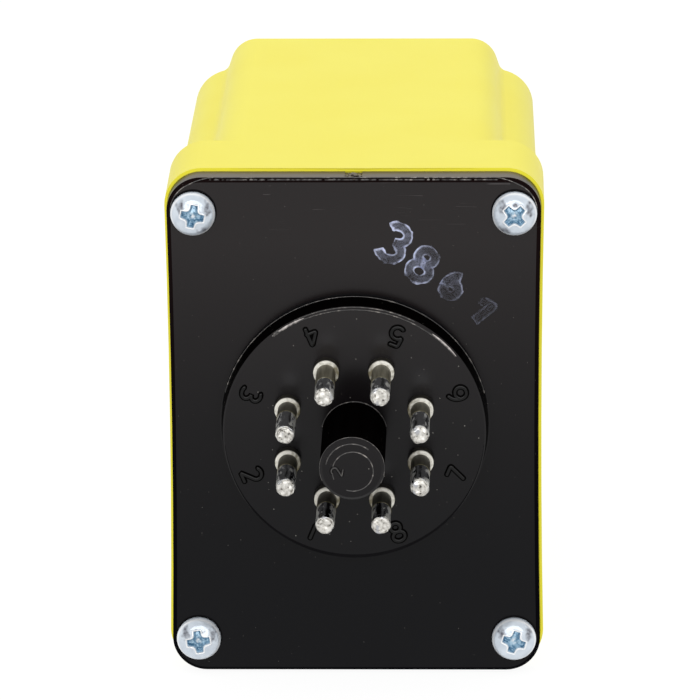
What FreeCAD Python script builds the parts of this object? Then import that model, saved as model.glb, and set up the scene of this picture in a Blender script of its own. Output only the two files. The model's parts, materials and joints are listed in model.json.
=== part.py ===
import FreeCAD, Part
import math
import os

# Plug-in phase monitoring relay with an eight-pin octal plug.
# Millimetres. X is to the right seen from the pins, Y runs into the case and Z is up.
# The origin is on the plug's axis, in the plane where the pin rings meet the socket.

V = FreeCAD.Vector

# Octal plug
pin_count = 8
pin_circle_d = 17.45
pin_d = 2.36
pin_length = 10.5
pin_tip_bevel = 0.5
pin_ring_d = 3.05
pin_ring_h = 0.8
pin_shank_d = 2.0
pin_tail = 1.0
post_d = 7.8
post_length = 13.3
post_bevel = 0.35
key_width = 1.75
key_height = 0.95
key_setback = 4.5
boss_d = 32.0
boss_flare = 0.3
boss_bevel = 0.2
boss_height = 3.65
plug_offset = 0.5

# Base plate
plate_lip_x = 0.4
plate_lip_z = 0.35
plate_thickness = 3.2
plate_corner_r = 4.2
plate_chamfer = 0.5
side_bow = 0.28
skirt_depth = 3.0
skirt_wall = 1.5
gate_width = 2.1
gate_depth = 0.15
stop_width = 5.0
stop_height = 4.0
stop_inset_x = 4.5
stop_inset_z = 5.0

# Case
collar_width = 46.1
collar_height = 63.8
collar_depth = 13.3
collar_corner_r = 4.6
collar_bevel = 0.3
body_step = 0.5
side_draft = 0.45
notch_width = 5.65
block_edge_r = 3.5
block_slope_deg = 19.0
notch_depth = 4.2
notch_r = 1.3
shoulder_r = 4.8
case_length = 64.8
case_edge_r = 1.0
wall = 2.0
end_wall = 2.2

# Case screws
screw_inset_x = 3.62
screw_inset_z = 4.68
screw_d = 2.7
screw_length = 13.0
screw_head_d = 5.45
screw_head_h = 1.9
screw_rim_h = 1.0
screw_crown_d = 3.7
recess_span = 3.0
recess_width = 0.75
recess_depth = 1.15
recess_turns = {(-1, 1): 10.0, (1, 1): 45.0, (-1, -1): -8.0, (1, -1): 15.0}

# Clearances
press_gap = 0.05
slide_gap = 0.15
turn_gap = 0.06
free_gap = 0.3
sharp_r = 0.3
same_place = 1e-4

# Circuit boards and the rails of the main one
board_thickness = 1.6
board_inset = 8.4
plug_board_setback = 3.5
plug_board_inset_x = 5.9
plug_board_inset_z = 6.9
rail_thickness = 1.1
rail_height = 2.2
leg_tail = 1.2

# Wires from the pins
lead_d = 1.2

# Mains transformer
trafo_step = 17.5
trafo_inset = 14.4
core_length = 26.0
core_height = 23.0
core_stack = 11.0
core_limb = 4.0
core_tongue = 8.0
trafo_lift = 2.0
former_wall = 0.9
former_reach = 4.6
coil_round_r = 2.0
foot_length = 14.0
foot_width = 2.6
foot_pitch = 5.0
stiff_leg = 0.8

# Output relay
relay_step = 16.0
relay_inset = 14.4
relay_base_length = 27.0
relay_base_width = 16.0
relay_base_h = 1.8
relay_leg_inset = 1.6
yoke_thickness = 1.4
yoke_width = 11.0
coil_former_r = 5.2
coil_former_h = 12.0
coil_flange = 0.9
coil_tube_wall = 0.8
coil_wire_r = 4.8
iron_r = 2.4
pole_r = 3.6
pole_h = 0.9
armature_thickness = 1.2
armature_width = 9.0
armature_tail = 4.0
armature_overhang = 4.0
armature_seat = 0.2
armature_open_deg = 6.0
residual_gap = 0.12
arm_thickness = 0.4
arm_width = 4.0
contact_r = 1.3
contact_h = 0.8
contact_reach = 9.2
contact_gap = 0.25
terminal_thickness = 0.8
terminal_width = 3.4
terminal_step = 2.0
spring_r = 1.0
spring_wire_d = 0.5
spring_lug_h = 2.4

# Trip adjuster
adjuster_z = -8.0
adjuster_r = 8.0
adjuster_depth = 4.5
adjuster_foot_width = 13.0
bush_r = 4.2
bush_length = 2.0
shaft_d = 6.0
shaft_flat = 2.2
shaft_seat = 3.5
knob_d = 14.0
knob_skirt_d = 16.0
knob_skirt_h = 1.4
knob_height = 10.0
knob_bevel = 0.8
knob_flutes = 12
knob_flute_r = 0.9
knob_roof = 2.5
pointer_width = 1.2
pointer_depth = 0.7
knob_lift = 0.6

# Indicator lamp
led_z = 16.5
led_r = 1.5
led_flange_r = 1.95
led_flange_h = 1.0
led_length = 4.4
led_leg_pitch = 2.54
led_leg = 0.5
led_leg_run = 2.2

# Other parts on the board
front_row_gap = 4.5
rear_row_gap = 4.5
chip_inset = 9.4
chip_length = 9.8
chip_width = 6.4
chip_height = 3.3
chip_lift = 0.6
chip_notch_r = 0.8
chip_legs_side = 4
chip_leg_pitch = 2.54
chip_leg_width = 0.6
chip_leg_thickness = 0.3
chip_leg_root = 1.6
chip_row_pitch = 7.62
can_insets = (17.4, 7.4)
can_r = 4.2
can_height = 12.0
can_groove = 0.35
can_groove_height = 2.0
can_leg_pitch = 3.5
film_z = -2.0
film_length = 13.0
film_width = 6.0
film_height = 11.0
film_edge_r = 0.8
film_leg_pitch = 10.0
disc_insets = (15.9, 10.4, 4.9)
disc_r = 4.0
disc_thickness = 3.2
disc_lift = 1.5
disc_leg_pitch = 5.0
resistor_insets = (16.9, 10.9, 4.9)
resistor_length = 8.0
resistor_width = 4.6
resistor_height = 13.0
resistor_bevel = 0.6
resistor_lift = 0.8
resistor_leg_pitch = 5.0
bridge_z = 0.8
bridge_r = 4.0
bridge_height = 5.5
bridge_lift = 0.8
bridge_leg_pitch = 5.0
thin_leg = 0.7

# Planes along the depth, from the socket's seat to the far end of the case
boss_face = pin_ring_h
plate_front = boss_face + boss_height
rim = plate_front + plate_thickness
collar_back = rim + collar_depth
case_end = rim + case_length
case_inside = case_end - end_wall
case_z = -plug_offset

# Widths and heights that follow the collar
plate_width = collar_width - 2 * plate_lip_x
plate_height = collar_height - 2 * plate_lip_z
body_width = collar_width - 2 * body_step
block_width = body_width - 2 * notch_width
screw_spacing_x = collar_width - 2 * screw_inset_x
screw_spacing_z = collar_height - 2 * screw_inset_z
plug_board_width = body_width - 2 * plug_board_inset_x
plug_board_height = collar_height - 2 * plug_board_inset_z

# Board planes
board_face_x = board_inset + wall - body_width / 2
board_back_x = board_face_x - board_thickness
plug_board_near = rim + plug_board_setback
plug_board_far = plug_board_near + board_thickness
board_start = plug_board_far + press_gap
board_end = case_inside - free_gap
front_row_y = case_inside - bush_length - adjuster_depth - front_row_gap
rear_row_y = plug_board_far + rear_row_gap
ceiling_z = case_z + collar_height / 2 - wall
floor_z = case_z - collar_height / 2 + wall
board_slots = []


def box(x0, x1, y0, y1, z0, z1):
    """Block between two opposite corners."""
    return Part.makeBox(x1 - x0, y1 - y0, z1 - z0, V(x0, y0, z0))


def rod(radius, start, end):
    """Round bar between two points."""
    line = end - start
    return Part.makeCylinder(radius, line.Length, start, line)


def outline(points):
    """Closed wire: a vector is a straight run to it, a pair is an arc through the first to the second."""
    edges = []
    here = points[0]
    for step in points[1:] + [points[0]]:
        if isinstance(step, tuple):
            edges.append(Part.Arc(here, step[0], step[1]).toShape())
            here = step[1]
        elif (step - here).Length > same_place:
            edges.append(Part.LineSegment(here, step).toShape())
            here = step
    return Part.Wire(edges)


def lathe(points):
    """Solid of revolution about Y from a closed half profile of (radius, height) points."""
    return Part.Face(outline(points)).revolve(V(0, 0, 0), V(0, 1, 0), 360)


def on_arc(centre, radius, degrees):
    """Point of a circle in the XY plane, used for profiles."""
    a = math.radians(degrees)
    return V(centre.x + radius * math.cos(a), centre.y + radius * math.sin(a), 0)


def mirrored_loop(y, quarter, bow):
    """Closed section at depth y from its upper right quarter, with the two long sides bowed in."""
    ring = []
    for side, up in ((1, 1), (1, -1), (-1, -1), (-1, 1)):
        part = [tuple(V(side * p.x, y, case_z + up * p.z) for p in run) for run in quarter]
        if side * up < 0:
            part = [run[::-1] for run in reversed(part)]
        ring.append(part)
    edges = []
    for part, following in zip(ring, ring[1:] + ring[:1]):
        for run in part:
            edges.append((Part.Arc if len(run) == 3 else Part.LineSegment)(*run).toShape())
        a = part[-1][-1]
        b = following[0][0]
        if abs(a.x - b.x) < same_place and bow > 0:
            waist = V(a.x - math.copysign(bow, a.x), y, case_z)
            edges.append(Part.Arc(a, waist, b).toShape())
        else:
            edges.append(Part.LineSegment(a, b).toShape())
    return Part.Wire(edges)


def rounded_section(y, half_width, half_height, corner_r, bow):
    """Upright rounded rectangle with bowed sides."""
    centre = V(half_width - corner_r, half_height - corner_r, 0)
    arc = [on_arc(centre, corner_r, a) for a in (90, 45, 0)]
    return mirrored_loop(y, [tuple(V(p.x, 0, p.y) for p in arc)], bow)


def stepped_section(y, inset):
    """Case section at depth y, set in by a wall: a sloping block, a notch and a round shoulder."""
    slope = math.radians(block_slope_deg)
    outward = V(math.cos(slope), math.sin(slope), 0)
    upward = V(-math.sin(slope), math.cos(slope), 0)
    top = collar_height / 2
    corner = V(block_width / 2, top, 0)
    r_edge = max(block_edge_r - inset, sharp_r)
    edge_y = top - inset - r_edge
    edge = V((corner.dot(outward) - inset - r_edge - edge_y * outward.y) / outward.x, edge_y, 0)
    shoulder = V(body_width / 2 - shoulder_r, top - notch_depth - shoulder_r, 0)
    reach = shoulder_r + notch_r
    across = (corner - shoulder).dot(outward) + notch_r
    notch = shoulder + outward * across + upward * math.sqrt(reach ** 2 - across ** 2)
    meet = 180 + math.degrees(math.atan2(notch.y - shoulder.y, notch.x - shoulder.x))
    r_notch = notch_r + inset
    r_shoulder = shoulder_r - inset
    start = 180 + block_slope_deg
    edge_arc = [on_arc(edge, r_edge, a) for a in (90, (90 + block_slope_deg) / 2, block_slope_deg)]
    notch_arc = [on_arc(notch, r_notch, a) for a in (start, (start + meet) / 2, meet)]
    shoulder_arc = [on_arc(shoulder, r_shoulder, a) for a in (meet - 180, (meet - 180) / 2, 0)]
    runs = [edge_arc, [edge_arc[-1], notch_arc[0]], notch_arc, shoulder_arc]
    return mirrored_loop(y, [tuple(V(p.x, 0, p.y) for p in run) for run in runs], 0)


def edges_at(shape, y):
    """Edges that lie in the plane at depth y."""
    found = []
    for edge in shape.Edges:
        bounds = edge.BoundBox
        if abs(bounds.YMin - y) < same_place and abs(bounds.YMax - y) < same_place:
            found.append(edge)
    return found


def screw_places():
    """Screw axes in the four corners, with the side and height signs of each."""
    for side in (-1, 1):
        for up in (-1, 1):
            yield side, up, side * screw_spacing_x / 2, case_z + up * screw_spacing_z / 2


def pin_place(number):
    """Axis of a pin; number 1 is left of the key and the count runs clockwise seen from the pins."""
    step = 360 / pin_count
    a = math.radians(-90 - step / 2 - step * (number - 1))
    return V(pin_circle_d / 2 * math.cos(a), 0, pin_circle_d / 2 * math.sin(a))


def strip_leg(thickness, width, x_top, y, z):
    """Stamped leg through the board, which is slotted for it."""
    board_slots.append((y, z, thickness, width))
    return box(board_back_x - leg_tail, x_top, y - thickness / 2, y + thickness / 2,
               z - width / 2, z + width / 2)


def leg(size, x_top, y, z):
    """Square leg through the board."""
    return strip_leg(size, size, x_top, y, z)


def stand(shape, y, z, lift):
    """Stand a turned shape on the board, its axis square to the board's face."""
    shape.rotate(V(0, 0, 0), V(0, 0, 1), -90)
    shape.translate(V(board_face_x + lift, y, z))
    return shape


# Housing

def adjuster_axis():
    """Foot of the adjuster's axis, level with the case's middle."""
    return V(0, 0, case_z + adjuster_z)


def lamp_axis():
    """Foot of the lamp's axis."""
    return V(0, 0, case_z + led_z)


def board_half_height():
    """Half the board's height, which fits between the case's upper and lower walls."""
    return collar_height / 2 - wall - free_gap


def drafted_body():
    """Stepped body that narrows towards its far end: each half of the section leans in by the draft."""
    start = rim + collar_bevel
    length = case_end - start
    lean = math.degrees(math.atan(side_draft / length))
    section = Part.Face(stepped_section(start, 0))
    halves = []
    for side in (-1, 1):
        past = side * collar_width
        keep = box(min(-side * wall, past), max(-side * wall, past), start - wall, start + wall,
                   case_z - collar_height, case_z + collar_height)
        half = section.common(keep).extrude(V(0, length + wall, 0))
        half.rotate(V(side * body_width / 2, start, 0), V(0, 0, 1), side * lean)
        halves.append(half)
    beyond = box(-collar_width, collar_width, case_end, case_end + 2 * wall,
                 case_z - collar_height, case_z + collar_height)
    body = halves[0].fuse(halves[1]).cut(beyond).removeSplitter()
    return body.makeFillet(case_edge_r, edges_at(body, case_end))


def make_housing():
    """One moulded case: collar, stepped body, open plug end, board rails and screw holes."""
    ring = rounded_section(rim, collar_width / 2, collar_height / 2, collar_corner_r, side_bow)
    collar = Part.Face(ring).extrude(V(0, collar_depth, 0))
    collar = collar.makeChamfer(collar_bevel, edges_at(collar, rim) + edges_at(collar, collar_back))
    cavity = Part.Face(stepped_section(rim, wall)).extrude(V(0, case_inside - rim, 0))
    shell = collar.fuse(drafted_body()).cut(cavity)
    top = collar_height / 2
    for up in (-1, 1):
        for x in (board_face_x + slide_gap, board_back_x - slide_gap - rail_thickness):
            low = case_z + up * (board_half_height() - rail_height)
            high = case_z + up * (top - wall / 2)
            rail = box(x, x + rail_thickness, collar_back, case_inside + end_wall / 2,
                       min(low, high), max(low, high))
            shell = shell.fuse(rail)
    hole_end = plate_front + screw_length + wall
    for side, up, x, z in screw_places():
        shell = shell.cut(rod(screw_d / 2 + press_gap, V(x, rim - wall, z), V(x, hole_end, z)))
    inner = V(0, case_inside - wall, 0)
    outer = V(0, case_end + wall, 0)
    for axis, radius in ((adjuster_axis(), shaft_d / 2 + free_gap), (lamp_axis(), led_r + slide_gap)):
        shell = shell.cut(rod(radius, axis + inner, axis + outer))
    return shell.removeSplitter()


# Base plate and plug

def make_base_plate():
    """Moulded plate with the round boss, the keyed post, a locating skirt and stops for the board."""
    ring = rounded_section(plate_front, plate_width / 2, plate_height / 2, plate_corner_r, side_bow)
    plate = Part.Face(ring).extrude(V(0, plate_thickness, 0))
    plate = plate.makeChamfer(plate_chamfer, edges_at(plate, plate_front))
    r_boss = boss_d / 2
    boss = lathe([V(0, boss_face, 0), V(r_boss - boss_bevel, boss_face, 0),
                  V(r_boss, boss_face + boss_bevel, 0), V(r_boss + boss_flare, plate_front, 0),
                  V(r_boss + boss_flare, rim, 0), V(0, rim, 0)])
    r_post = post_d / 2
    post = lathe([V(0, -post_length, 0), V(r_post - post_bevel, -post_length, 0),
                  V(r_post, post_bevel - post_length, 0), V(r_post, rim, 0), V(0, rim, 0)])
    key = box(-key_width / 2, key_width / 2, key_setback - post_length, rim, -r_post - key_height, 0)
    plate = plate.fuse([boss, post, key])
    skirt = Part.Face(stepped_section(rim + skirt_depth, wall + slide_gap))
    hollow = Part.Face(stepped_section(rim + skirt_depth, wall + slide_gap + skirt_wall))
    skirt = skirt.cut(hollow).extrude(V(0, -skirt_depth - plate_thickness / 2, 0))
    stops = []
    for side, up in ((-1, -1), (-1, 1), (1, -1), (1, 1)):
        x = side * (plug_board_width / 2 - stop_inset_x)
        z = case_z + up * (plug_board_height / 2 - stop_inset_z)
        stops.append(box(x - stop_width / 2, x + stop_width / 2, rim - plate_thickness / 2,
                         plug_board_near - press_gap, z - stop_height / 2, z + stop_height / 2))
    plate = plate.fuse([skirt] + stops)
    shank_hole_r = pin_shank_d / 2 + press_gap
    for number in range(1, pin_count + 1):
        foot = pin_place(number)
        plate = plate.cut(rod(shank_hole_r, foot + V(0, boss_face - wall, 0), foot + V(0, rim + wall, 0)))
    for side, up, x, z in screw_places():
        plate = plate.cut(rod(screw_d / 2 + slide_gap, V(x, plate_front - wall, z), V(x, rim + wall, z)))
    gate_top = case_z + plate_height / 2
    gate = box(-gate_width / 2, gate_width / 2, plate_front + plate_chamfer, rim,
               gate_top - gate_depth, gate_top + wall)
    return plate.cut(gate).removeSplitter()


def make_pin(number):
    """Plug pin: bevelled tip, a ring at the foot and a shank through the plate."""
    r = pin_d / 2
    r_shank = pin_shank_d / 2
    tail = rim + pin_tail
    r_ring = pin_ring_d / 2
    pin = lathe([V(0, -pin_length, 0), V(r - pin_tip_bevel, -pin_length, 0),
                 V(r, pin_tip_bevel - pin_length, 0), V(r, 0, 0), V(r_ring, 0, 0), V(r_ring, boss_face, 0),
                 V(r_shank, boss_face, 0), V(r_shank, tail, 0), V(0, tail, 0)])
    pin.translate(pin_place(number))
    return pin


def make_lead(number):
    """Straight wire from the tail of a pin to the plug board."""
    foot = pin_place(number)
    start = rim + pin_tail + press_gap
    return rod(lead_d / 2, foot + V(0, start, 0), foot + V(0, plug_board_near - press_gap, 0))


def make_plug_board():
    """Small board across the plug that takes the pins' wires and meets the main board's edge."""
    half_x = plug_board_width / 2
    half_z = plug_board_height / 2
    return box(-half_x, half_x, plug_board_near, plug_board_far, case_z - half_z, case_z + half_z)


def make_cover_screws():
    """Four pan-head screws with a cross recess, each as it was left when tightened."""
    r_head = screw_head_d / 2
    r = screw_d / 2
    top = -screw_head_h
    screws = []
    for side, up, x, z in screw_places():
        screw = lathe([V(0, top, 0), V(screw_crown_d / 2, top, 0), V(r_head, -screw_rim_h, 0),
                       V(r_head, 0, 0), V(r, 0, 0), V(r, screw_length, 0), V(0, screw_length, 0)])
        for quarter in (0, 90):
            wing = box(-recess_span / 2, recess_span / 2, top, top + recess_depth,
                       -recess_width / 2, recess_width / 2)
            wing.rotate(V(0, 0, 0), V(0, 1, 0), recess_turns[(side, up)] + quarter)
            screw = screw.cut(wing)
        screw.translate(V(x, plate_front, z))
        screws.append(screw)
    return Part.makeCompound(screws)


# Transformer

trafo_y = rear_row_y + trafo_step
trafo_z = ceiling_z - trafo_inset
core_low = board_face_x + trafo_lift
window_low = core_low + core_limb
window_high = core_low + core_height - core_limb
tube_half_y = core_tongue / 2 + press_gap + former_wall
tube_half_z = core_stack / 2 + press_gap + former_wall


def make_transformer_core():
    """Stack of laminations with two windows round the middle tongue."""
    half = core_length / 2
    half_stack = core_stack / 2
    core = box(core_low, core_low + core_height, trafo_y - half, trafo_y + half,
               trafo_z - half_stack, trafo_z + half_stack)
    for y0, y1 in ((-half + core_limb, -core_tongue / 2), (core_tongue / 2, half - core_limb)):
        core = core.cut(box(window_low, window_high, trafo_y + y0, trafo_y + y1,
                            trafo_z - half_stack, trafo_z + half_stack))
    return core


def make_transformer_bobbin():
    """Former on the tongue: a square tube, a flange at each end and two feet with pins."""
    low = window_low + press_gap
    high = window_high - press_gap
    flange_y = core_length / 2 - core_limb - slide_gap
    flange_z = tube_half_z + former_reach
    former = box(low, high, trafo_y - tube_half_y, trafo_y + tube_half_y,
                 trafo_z - tube_half_z, trafo_z + tube_half_z)
    for x0, x1 in ((low, low + former_wall), (high - former_wall, high)):
        former = former.fuse(box(x0, x1, trafo_y - flange_y, trafo_y + flange_y,
                                 trafo_z - flange_z, trafo_z + flange_z))
    for up in (-1, 1):
        outer = trafo_z + up * flange_z
        inner = outer - up * foot_width
        former = former.fuse(box(board_face_x, low + former_wall, trafo_y - foot_length / 2,
                                 trafo_y + foot_length / 2, min(inner, outer), max(inner, outer)))
        for step in (-1, 0, 1):
            former = former.fuse(leg(stiff_leg, board_face_x + trafo_lift, trafo_y + step * foot_pitch,
                                     (inner + outer) / 2))
    half_y = core_tongue / 2 + press_gap
    half_z = core_stack / 2 + press_gap
    tongue = box(low - wall, high + wall, trafo_y - half_y, trafo_y + half_y,
                 trafo_z - half_z, trafo_z + half_z)
    return former.cut(tongue).removeSplitter()


def make_transformer_winding():
    """Taped coil that fills the former between its flanges."""
    low = window_low + press_gap + former_wall
    high = window_high - press_gap - former_wall
    half_y = core_length / 2 - core_limb - free_gap
    half_z = tube_half_z + former_reach - free_gap
    coil = box(low, high, trafo_y - half_y, trafo_y + half_y, trafo_z - half_z, trafo_z + half_z)
    upright = [e for e in coil.Edges if e.BoundBox.XLength > coil_round_r]
    coil = coil.makeFillet(coil_round_r, upright)
    return coil.cut(box(low, high, trafo_y - tube_half_y, trafo_y + tube_half_y,
                        trafo_z - tube_half_z, trafo_z + tube_half_z))


# Output relay

relay_y = rear_row_y + relay_step
relay_z = floor_z + relay_inset
relay_floor = board_face_x + relay_base_h
yoke_top = relay_floor + yoke_thickness
pole_face = yoke_top + coil_former_h + pole_h
armature_low = pole_face + residual_gap
pivot_x = armature_low - armature_seat
pivot_y = relay_y - coil_former_r - free_gap - yoke_thickness / 2
armature_top = armature_low + armature_thickness
contact_y = relay_y + contact_reach
open_contact_top = armature_top - contact_h - contact_gap
lift_at_contact = (contact_y - pivot_y) * math.sin(math.radians(armature_open_deg))
closed_contact_low = armature_top + arm_thickness + contact_h + lift_at_contact + contact_gap
open_post_y = contact_y + contact_r + free_gap + terminal_thickness
closed_post_y = open_post_y + terminal_step
spring_y = pivot_y - armature_tail + spring_r + spring_wire_d


def make_relay_base():
    """Moulded base with a lug for the spring and slots for the terminals."""
    start = spring_y - spring_r - relay_base_h
    base = box(board_face_x, relay_floor, start, start + relay_base_length,
               relay_z - relay_base_width / 2, relay_z + relay_base_width / 2)
    lug = rod(spring_r, V(relay_floor - relay_base_h / 2, spring_y, relay_z),
              V(relay_floor + spring_lug_h, spring_y, relay_z))
    base = base.fuse(lug)
    for y in (open_post_y, closed_post_y):
        base = base.cut(box(board_face_x, relay_floor, y - terminal_thickness / 2 - press_gap,
                            y + terminal_thickness / 2 + press_gap, relay_z - terminal_width / 2 - press_gap,
                            relay_z + terminal_width / 2 + press_gap))
    for up in (-1, 1):
        base = base.fuse(leg(stiff_leg, relay_floor - relay_base_h / 2, relay_y,
                             relay_z + up * (relay_base_width / 2 - relay_leg_inset)))
    return base.removeSplitter()


def make_relay_yoke():
    """Bent iron strip: a foot under the coil and an upright with a rounded edge for the armature."""
    half = yoke_width / 2
    back = pivot_y - yoke_thickness / 2
    foot = box(relay_floor, yoke_top, back, relay_y + coil_former_r, relay_z - half, relay_z + half)
    upright = box(relay_floor, pivot_x, back, back + yoke_thickness, relay_z - half, relay_z + half)
    edge = rod(yoke_thickness / 2, V(pivot_x, pivot_y, relay_z - half), V(pivot_x, pivot_y, relay_z + half))
    return foot.fuse([upright, edge]).removeSplitter()


def make_relay_core():
    """Iron core with a wider pole at its free end."""
    neck = yoke_top + coil_former_h
    core = rod(iron_r, V(yoke_top, relay_y, relay_z), V(pole_face, relay_y, relay_z))
    return core.fuse(rod(pole_r, V(neck, relay_y, relay_z), V(pole_face, relay_y, relay_z))).removeSplitter()


def make_relay_bobbin():
    """Round former between the yoke and the pole."""
    r_bore = iron_r + press_gap
    r_tube = r_bore + coil_tube_wall
    top = coil_former_h - press_gap
    former = lathe([V(r_bore, 0, 0), V(coil_former_r, 0, 0), V(coil_former_r, coil_flange, 0),
                    V(r_tube, coil_flange, 0), V(r_tube, top - coil_flange, 0),
                    V(coil_former_r, top - coil_flange, 0), V(coil_former_r, top, 0), V(r_bore, top, 0)])
    return stand(former, relay_y, relay_z, relay_base_h + yoke_thickness)


def make_relay_winding():
    """Coil wire on the round former."""
    r_tube = iron_r + press_gap + coil_tube_wall
    high = coil_former_h - press_gap - coil_flange
    coil = lathe([V(r_tube, coil_flange, 0), V(coil_wire_r, coil_flange, 0), V(coil_wire_r, high, 0),
                  V(r_tube, high, 0)])
    return stand(coil, relay_y, relay_z, relay_base_h + yoke_thickness)


def opened(shape):
    """Swing a shape about the yoke's edge from the pulled-in to the released position."""
    shape.rotate(V(pivot_x, pivot_y, relay_z), V(0, 0, 1), -armature_open_deg)
    return shape


def make_relay_armature():
    """Iron flap with a round seat over the yoke's edge and a tail for the spring."""
    half = armature_width / 2
    flap = box(armature_low, armature_top, pivot_y - armature_tail, relay_y + armature_overhang,
               relay_z - half, relay_z + half)
    seat = rod(yoke_thickness / 2 + turn_gap, V(pivot_x, pivot_y, relay_z - half),
               V(pivot_x, pivot_y, relay_z + half))
    return opened(flap.cut(seat))


def make_contact_arm():
    """Spring strip on the armature with a contact rivet through its free end."""
    half = arm_width / 2
    strip = box(armature_top, armature_top + arm_thickness, pivot_y, contact_y + contact_r + slide_gap,
                relay_z - half, relay_z + half)
    rivet = rod(contact_r, V(armature_top - contact_h, contact_y, relay_z),
                V(armature_top + arm_thickness + contact_h, contact_y, relay_z))
    return opened(strip.fuse(rivet))


def make_terminal(post_y, face_x, facing):
    """Upright strip bent over at its end, with a contact rivet that faces the moving one."""
    half_t = terminal_thickness / 2
    half_w = terminal_width / 2
    strip_face = face_x - facing * contact_h
    strip_far = strip_face - facing * terminal_thickness
    top = max(strip_face, strip_far)
    post = strip_leg(terminal_thickness, terminal_width, top, post_y, relay_z)
    arm = box(min(strip_face, strip_far), top, contact_y - contact_r, post_y + half_t,
              relay_z - half_w, relay_z + half_w)
    rivet = rod(contact_r, V(strip_face, contact_y, relay_z), V(face_x, contact_y, relay_z))
    return post.fuse([arm, rivet]).removeSplitter()


def make_return_spring():
    """Close-wound pull spring between the base's lug and the armature's tail, its turns as one tube."""
    tail_reach = pivot_y - spring_y + spring_r + spring_wire_d / 2
    drop = tail_reach * math.sin(math.radians(armature_open_deg))
    low = relay_floor + spring_lug_h
    high = armature_low - drop - slide_gap
    tube = rod(spring_r + spring_wire_d / 2, V(low, spring_y, relay_z), V(high, spring_y, relay_z))
    return tube.cut(rod(spring_r - spring_wire_d / 2, V(low, spring_y, relay_z), V(high, spring_y, relay_z)))


# Adjuster and lamp

def make_adjuster_body():
    """Rotary resistor with a bush to the case's end wall and a foot on the board."""
    axis = adjuster_axis()
    front = case_inside - bush_length
    back = front - adjuster_depth
    body = rod(adjuster_r, axis + V(0, back, 0), axis + V(0, front, 0))
    bush = rod(bush_r, axis + V(0, front, 0), axis + V(0, case_inside - press_gap, 0))
    half = adjuster_foot_width / 2
    foot = box(board_face_x, 0, back, front, axis.z - half, axis.z + half)
    body = body.fuse([bush, foot])
    middle = (back + front) / 2
    for step in (-1, 0, 1):
        body = body.fuse(leg(stiff_leg, board_face_x + wall, middle, axis.z + step * foot_pitch))
    bore_start = axis + V(0, front - shaft_seat, 0)
    bore = rod(shaft_d / 2 + turn_gap, bore_start, axis + V(0, case_inside + wall, 0))
    return body.cut(bore).removeSplitter()


def make_adjuster_shaft():
    """Turning shaft with a flat for the knob."""
    axis = adjuster_axis()
    start = case_inside - bush_length - shaft_seat + press_gap
    end = case_end + knob_lift + knob_height - knob_roof - press_gap
    shaft = rod(shaft_d / 2, axis + V(0, start, 0), axis + V(0, end, 0))
    flat = box(-shaft_d, shaft_d, case_end + knob_lift, end, axis.z + shaft_flat, axis.z + shaft_d)
    return shaft.cut(flat)


def make_adjuster_knob():
    """Fluted knob with a skirt, a pointer groove and a bore that fits the shaft's flat."""
    axis = adjuster_axis()
    r = knob_d / 2
    r_skirt = knob_skirt_d / 2
    knob = lathe([V(0, 0, 0), V(r_skirt, 0, 0), V(r_skirt, knob_skirt_h, 0), V(r, knob_skirt_h, 0),
                  V(r, knob_height - knob_bevel, 0), V(r - knob_bevel, knob_height, 0),
                  V(0, knob_height, 0)])
    for k in range(knob_flutes):
        a = 2 * math.pi * k / knob_flutes
        foot = V(r * math.sin(a), knob_skirt_h + knob_flute_r, r * math.cos(a))
        knob = knob.cut(rod(knob_flute_r, foot, foot + V(0, knob_height, 0)))
    groove = box(-pointer_width / 2, pointer_width / 2, knob_height - pointer_depth, knob_height + wall,
                 0, knob_d)
    bore = rod(shaft_d / 2 + press_gap, V(0, -wall, 0), V(0, knob_height - knob_roof, 0))
    flat = box(-shaft_d, shaft_d, -wall, knob_height, shaft_flat + press_gap, shaft_d)
    knob = knob.cut(groove).cut(bore.cut(flat))
    knob.translate(axis + V(0, case_end + knob_lift, 0))
    return knob


def make_indicator_led():
    """Round lamp with its flange behind the end wall and two bent legs to the board."""
    axis = lamp_axis()
    seat = case_inside - press_gap
    back = seat - led_flange_h
    dome = seat + led_length - led_r
    half = led_r * math.sqrt(0.5)
    lamp = lathe([V(0, back, 0), V(led_flange_r, back, 0), V(led_flange_r, seat, 0), V(led_r, seat, 0),
                  V(led_r, dome, 0), (V(half, dome + half, 0), V(0, dome + led_r, 0))])
    lamp.translate(axis)
    half = led_leg / 2
    corner = back - led_leg_run
    for up in (-1, 1):
        z = axis.z + up * led_leg_pitch / 2
        run = box(-half, half, corner - half, back + led_flange_h / 2, z - half, z + half)
        drop = leg(led_leg, half, corner, z)
        lamp = lamp.fuse([run, drop])
    return lamp.removeSplitter()


# Small parts on the board

def make_comparator_chip():
    """Moulded chip with two rows of bent legs and an end notch."""
    y = front_row_y
    centre = floor_z + chip_inset
    low = board_face_x + chip_lift
    end = centre + chip_length / 2
    chip = box(low, low + chip_height, y - chip_width / 2, y + chip_width / 2, centre - chip_length / 2, end)
    middle = low + chip_height / 2
    chip = chip.cut(rod(chip_notch_r, V(middle, y, end), V(low + chip_height + wall, y, end)))
    for k in range(chip_legs_side):
        z = centre + (k - (chip_legs_side - 1) / 2) * chip_leg_pitch
        for side in (-1, 1):
            row = y + side * chip_row_pitch / 2
            far = row + side * chip_leg_thickness / 2
            near = y + side * chip_leg_root
            arm = box(middle, middle + chip_leg_thickness, min(near, far), max(near, far),
                      z - chip_leg_width / 2, z + chip_leg_width / 2)
            drop = strip_leg(chip_leg_thickness, chip_leg_width, middle + chip_leg_thickness, row, z)
            chip = chip.fuse([arm, drop])
    return chip.removeSplitter()


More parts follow.
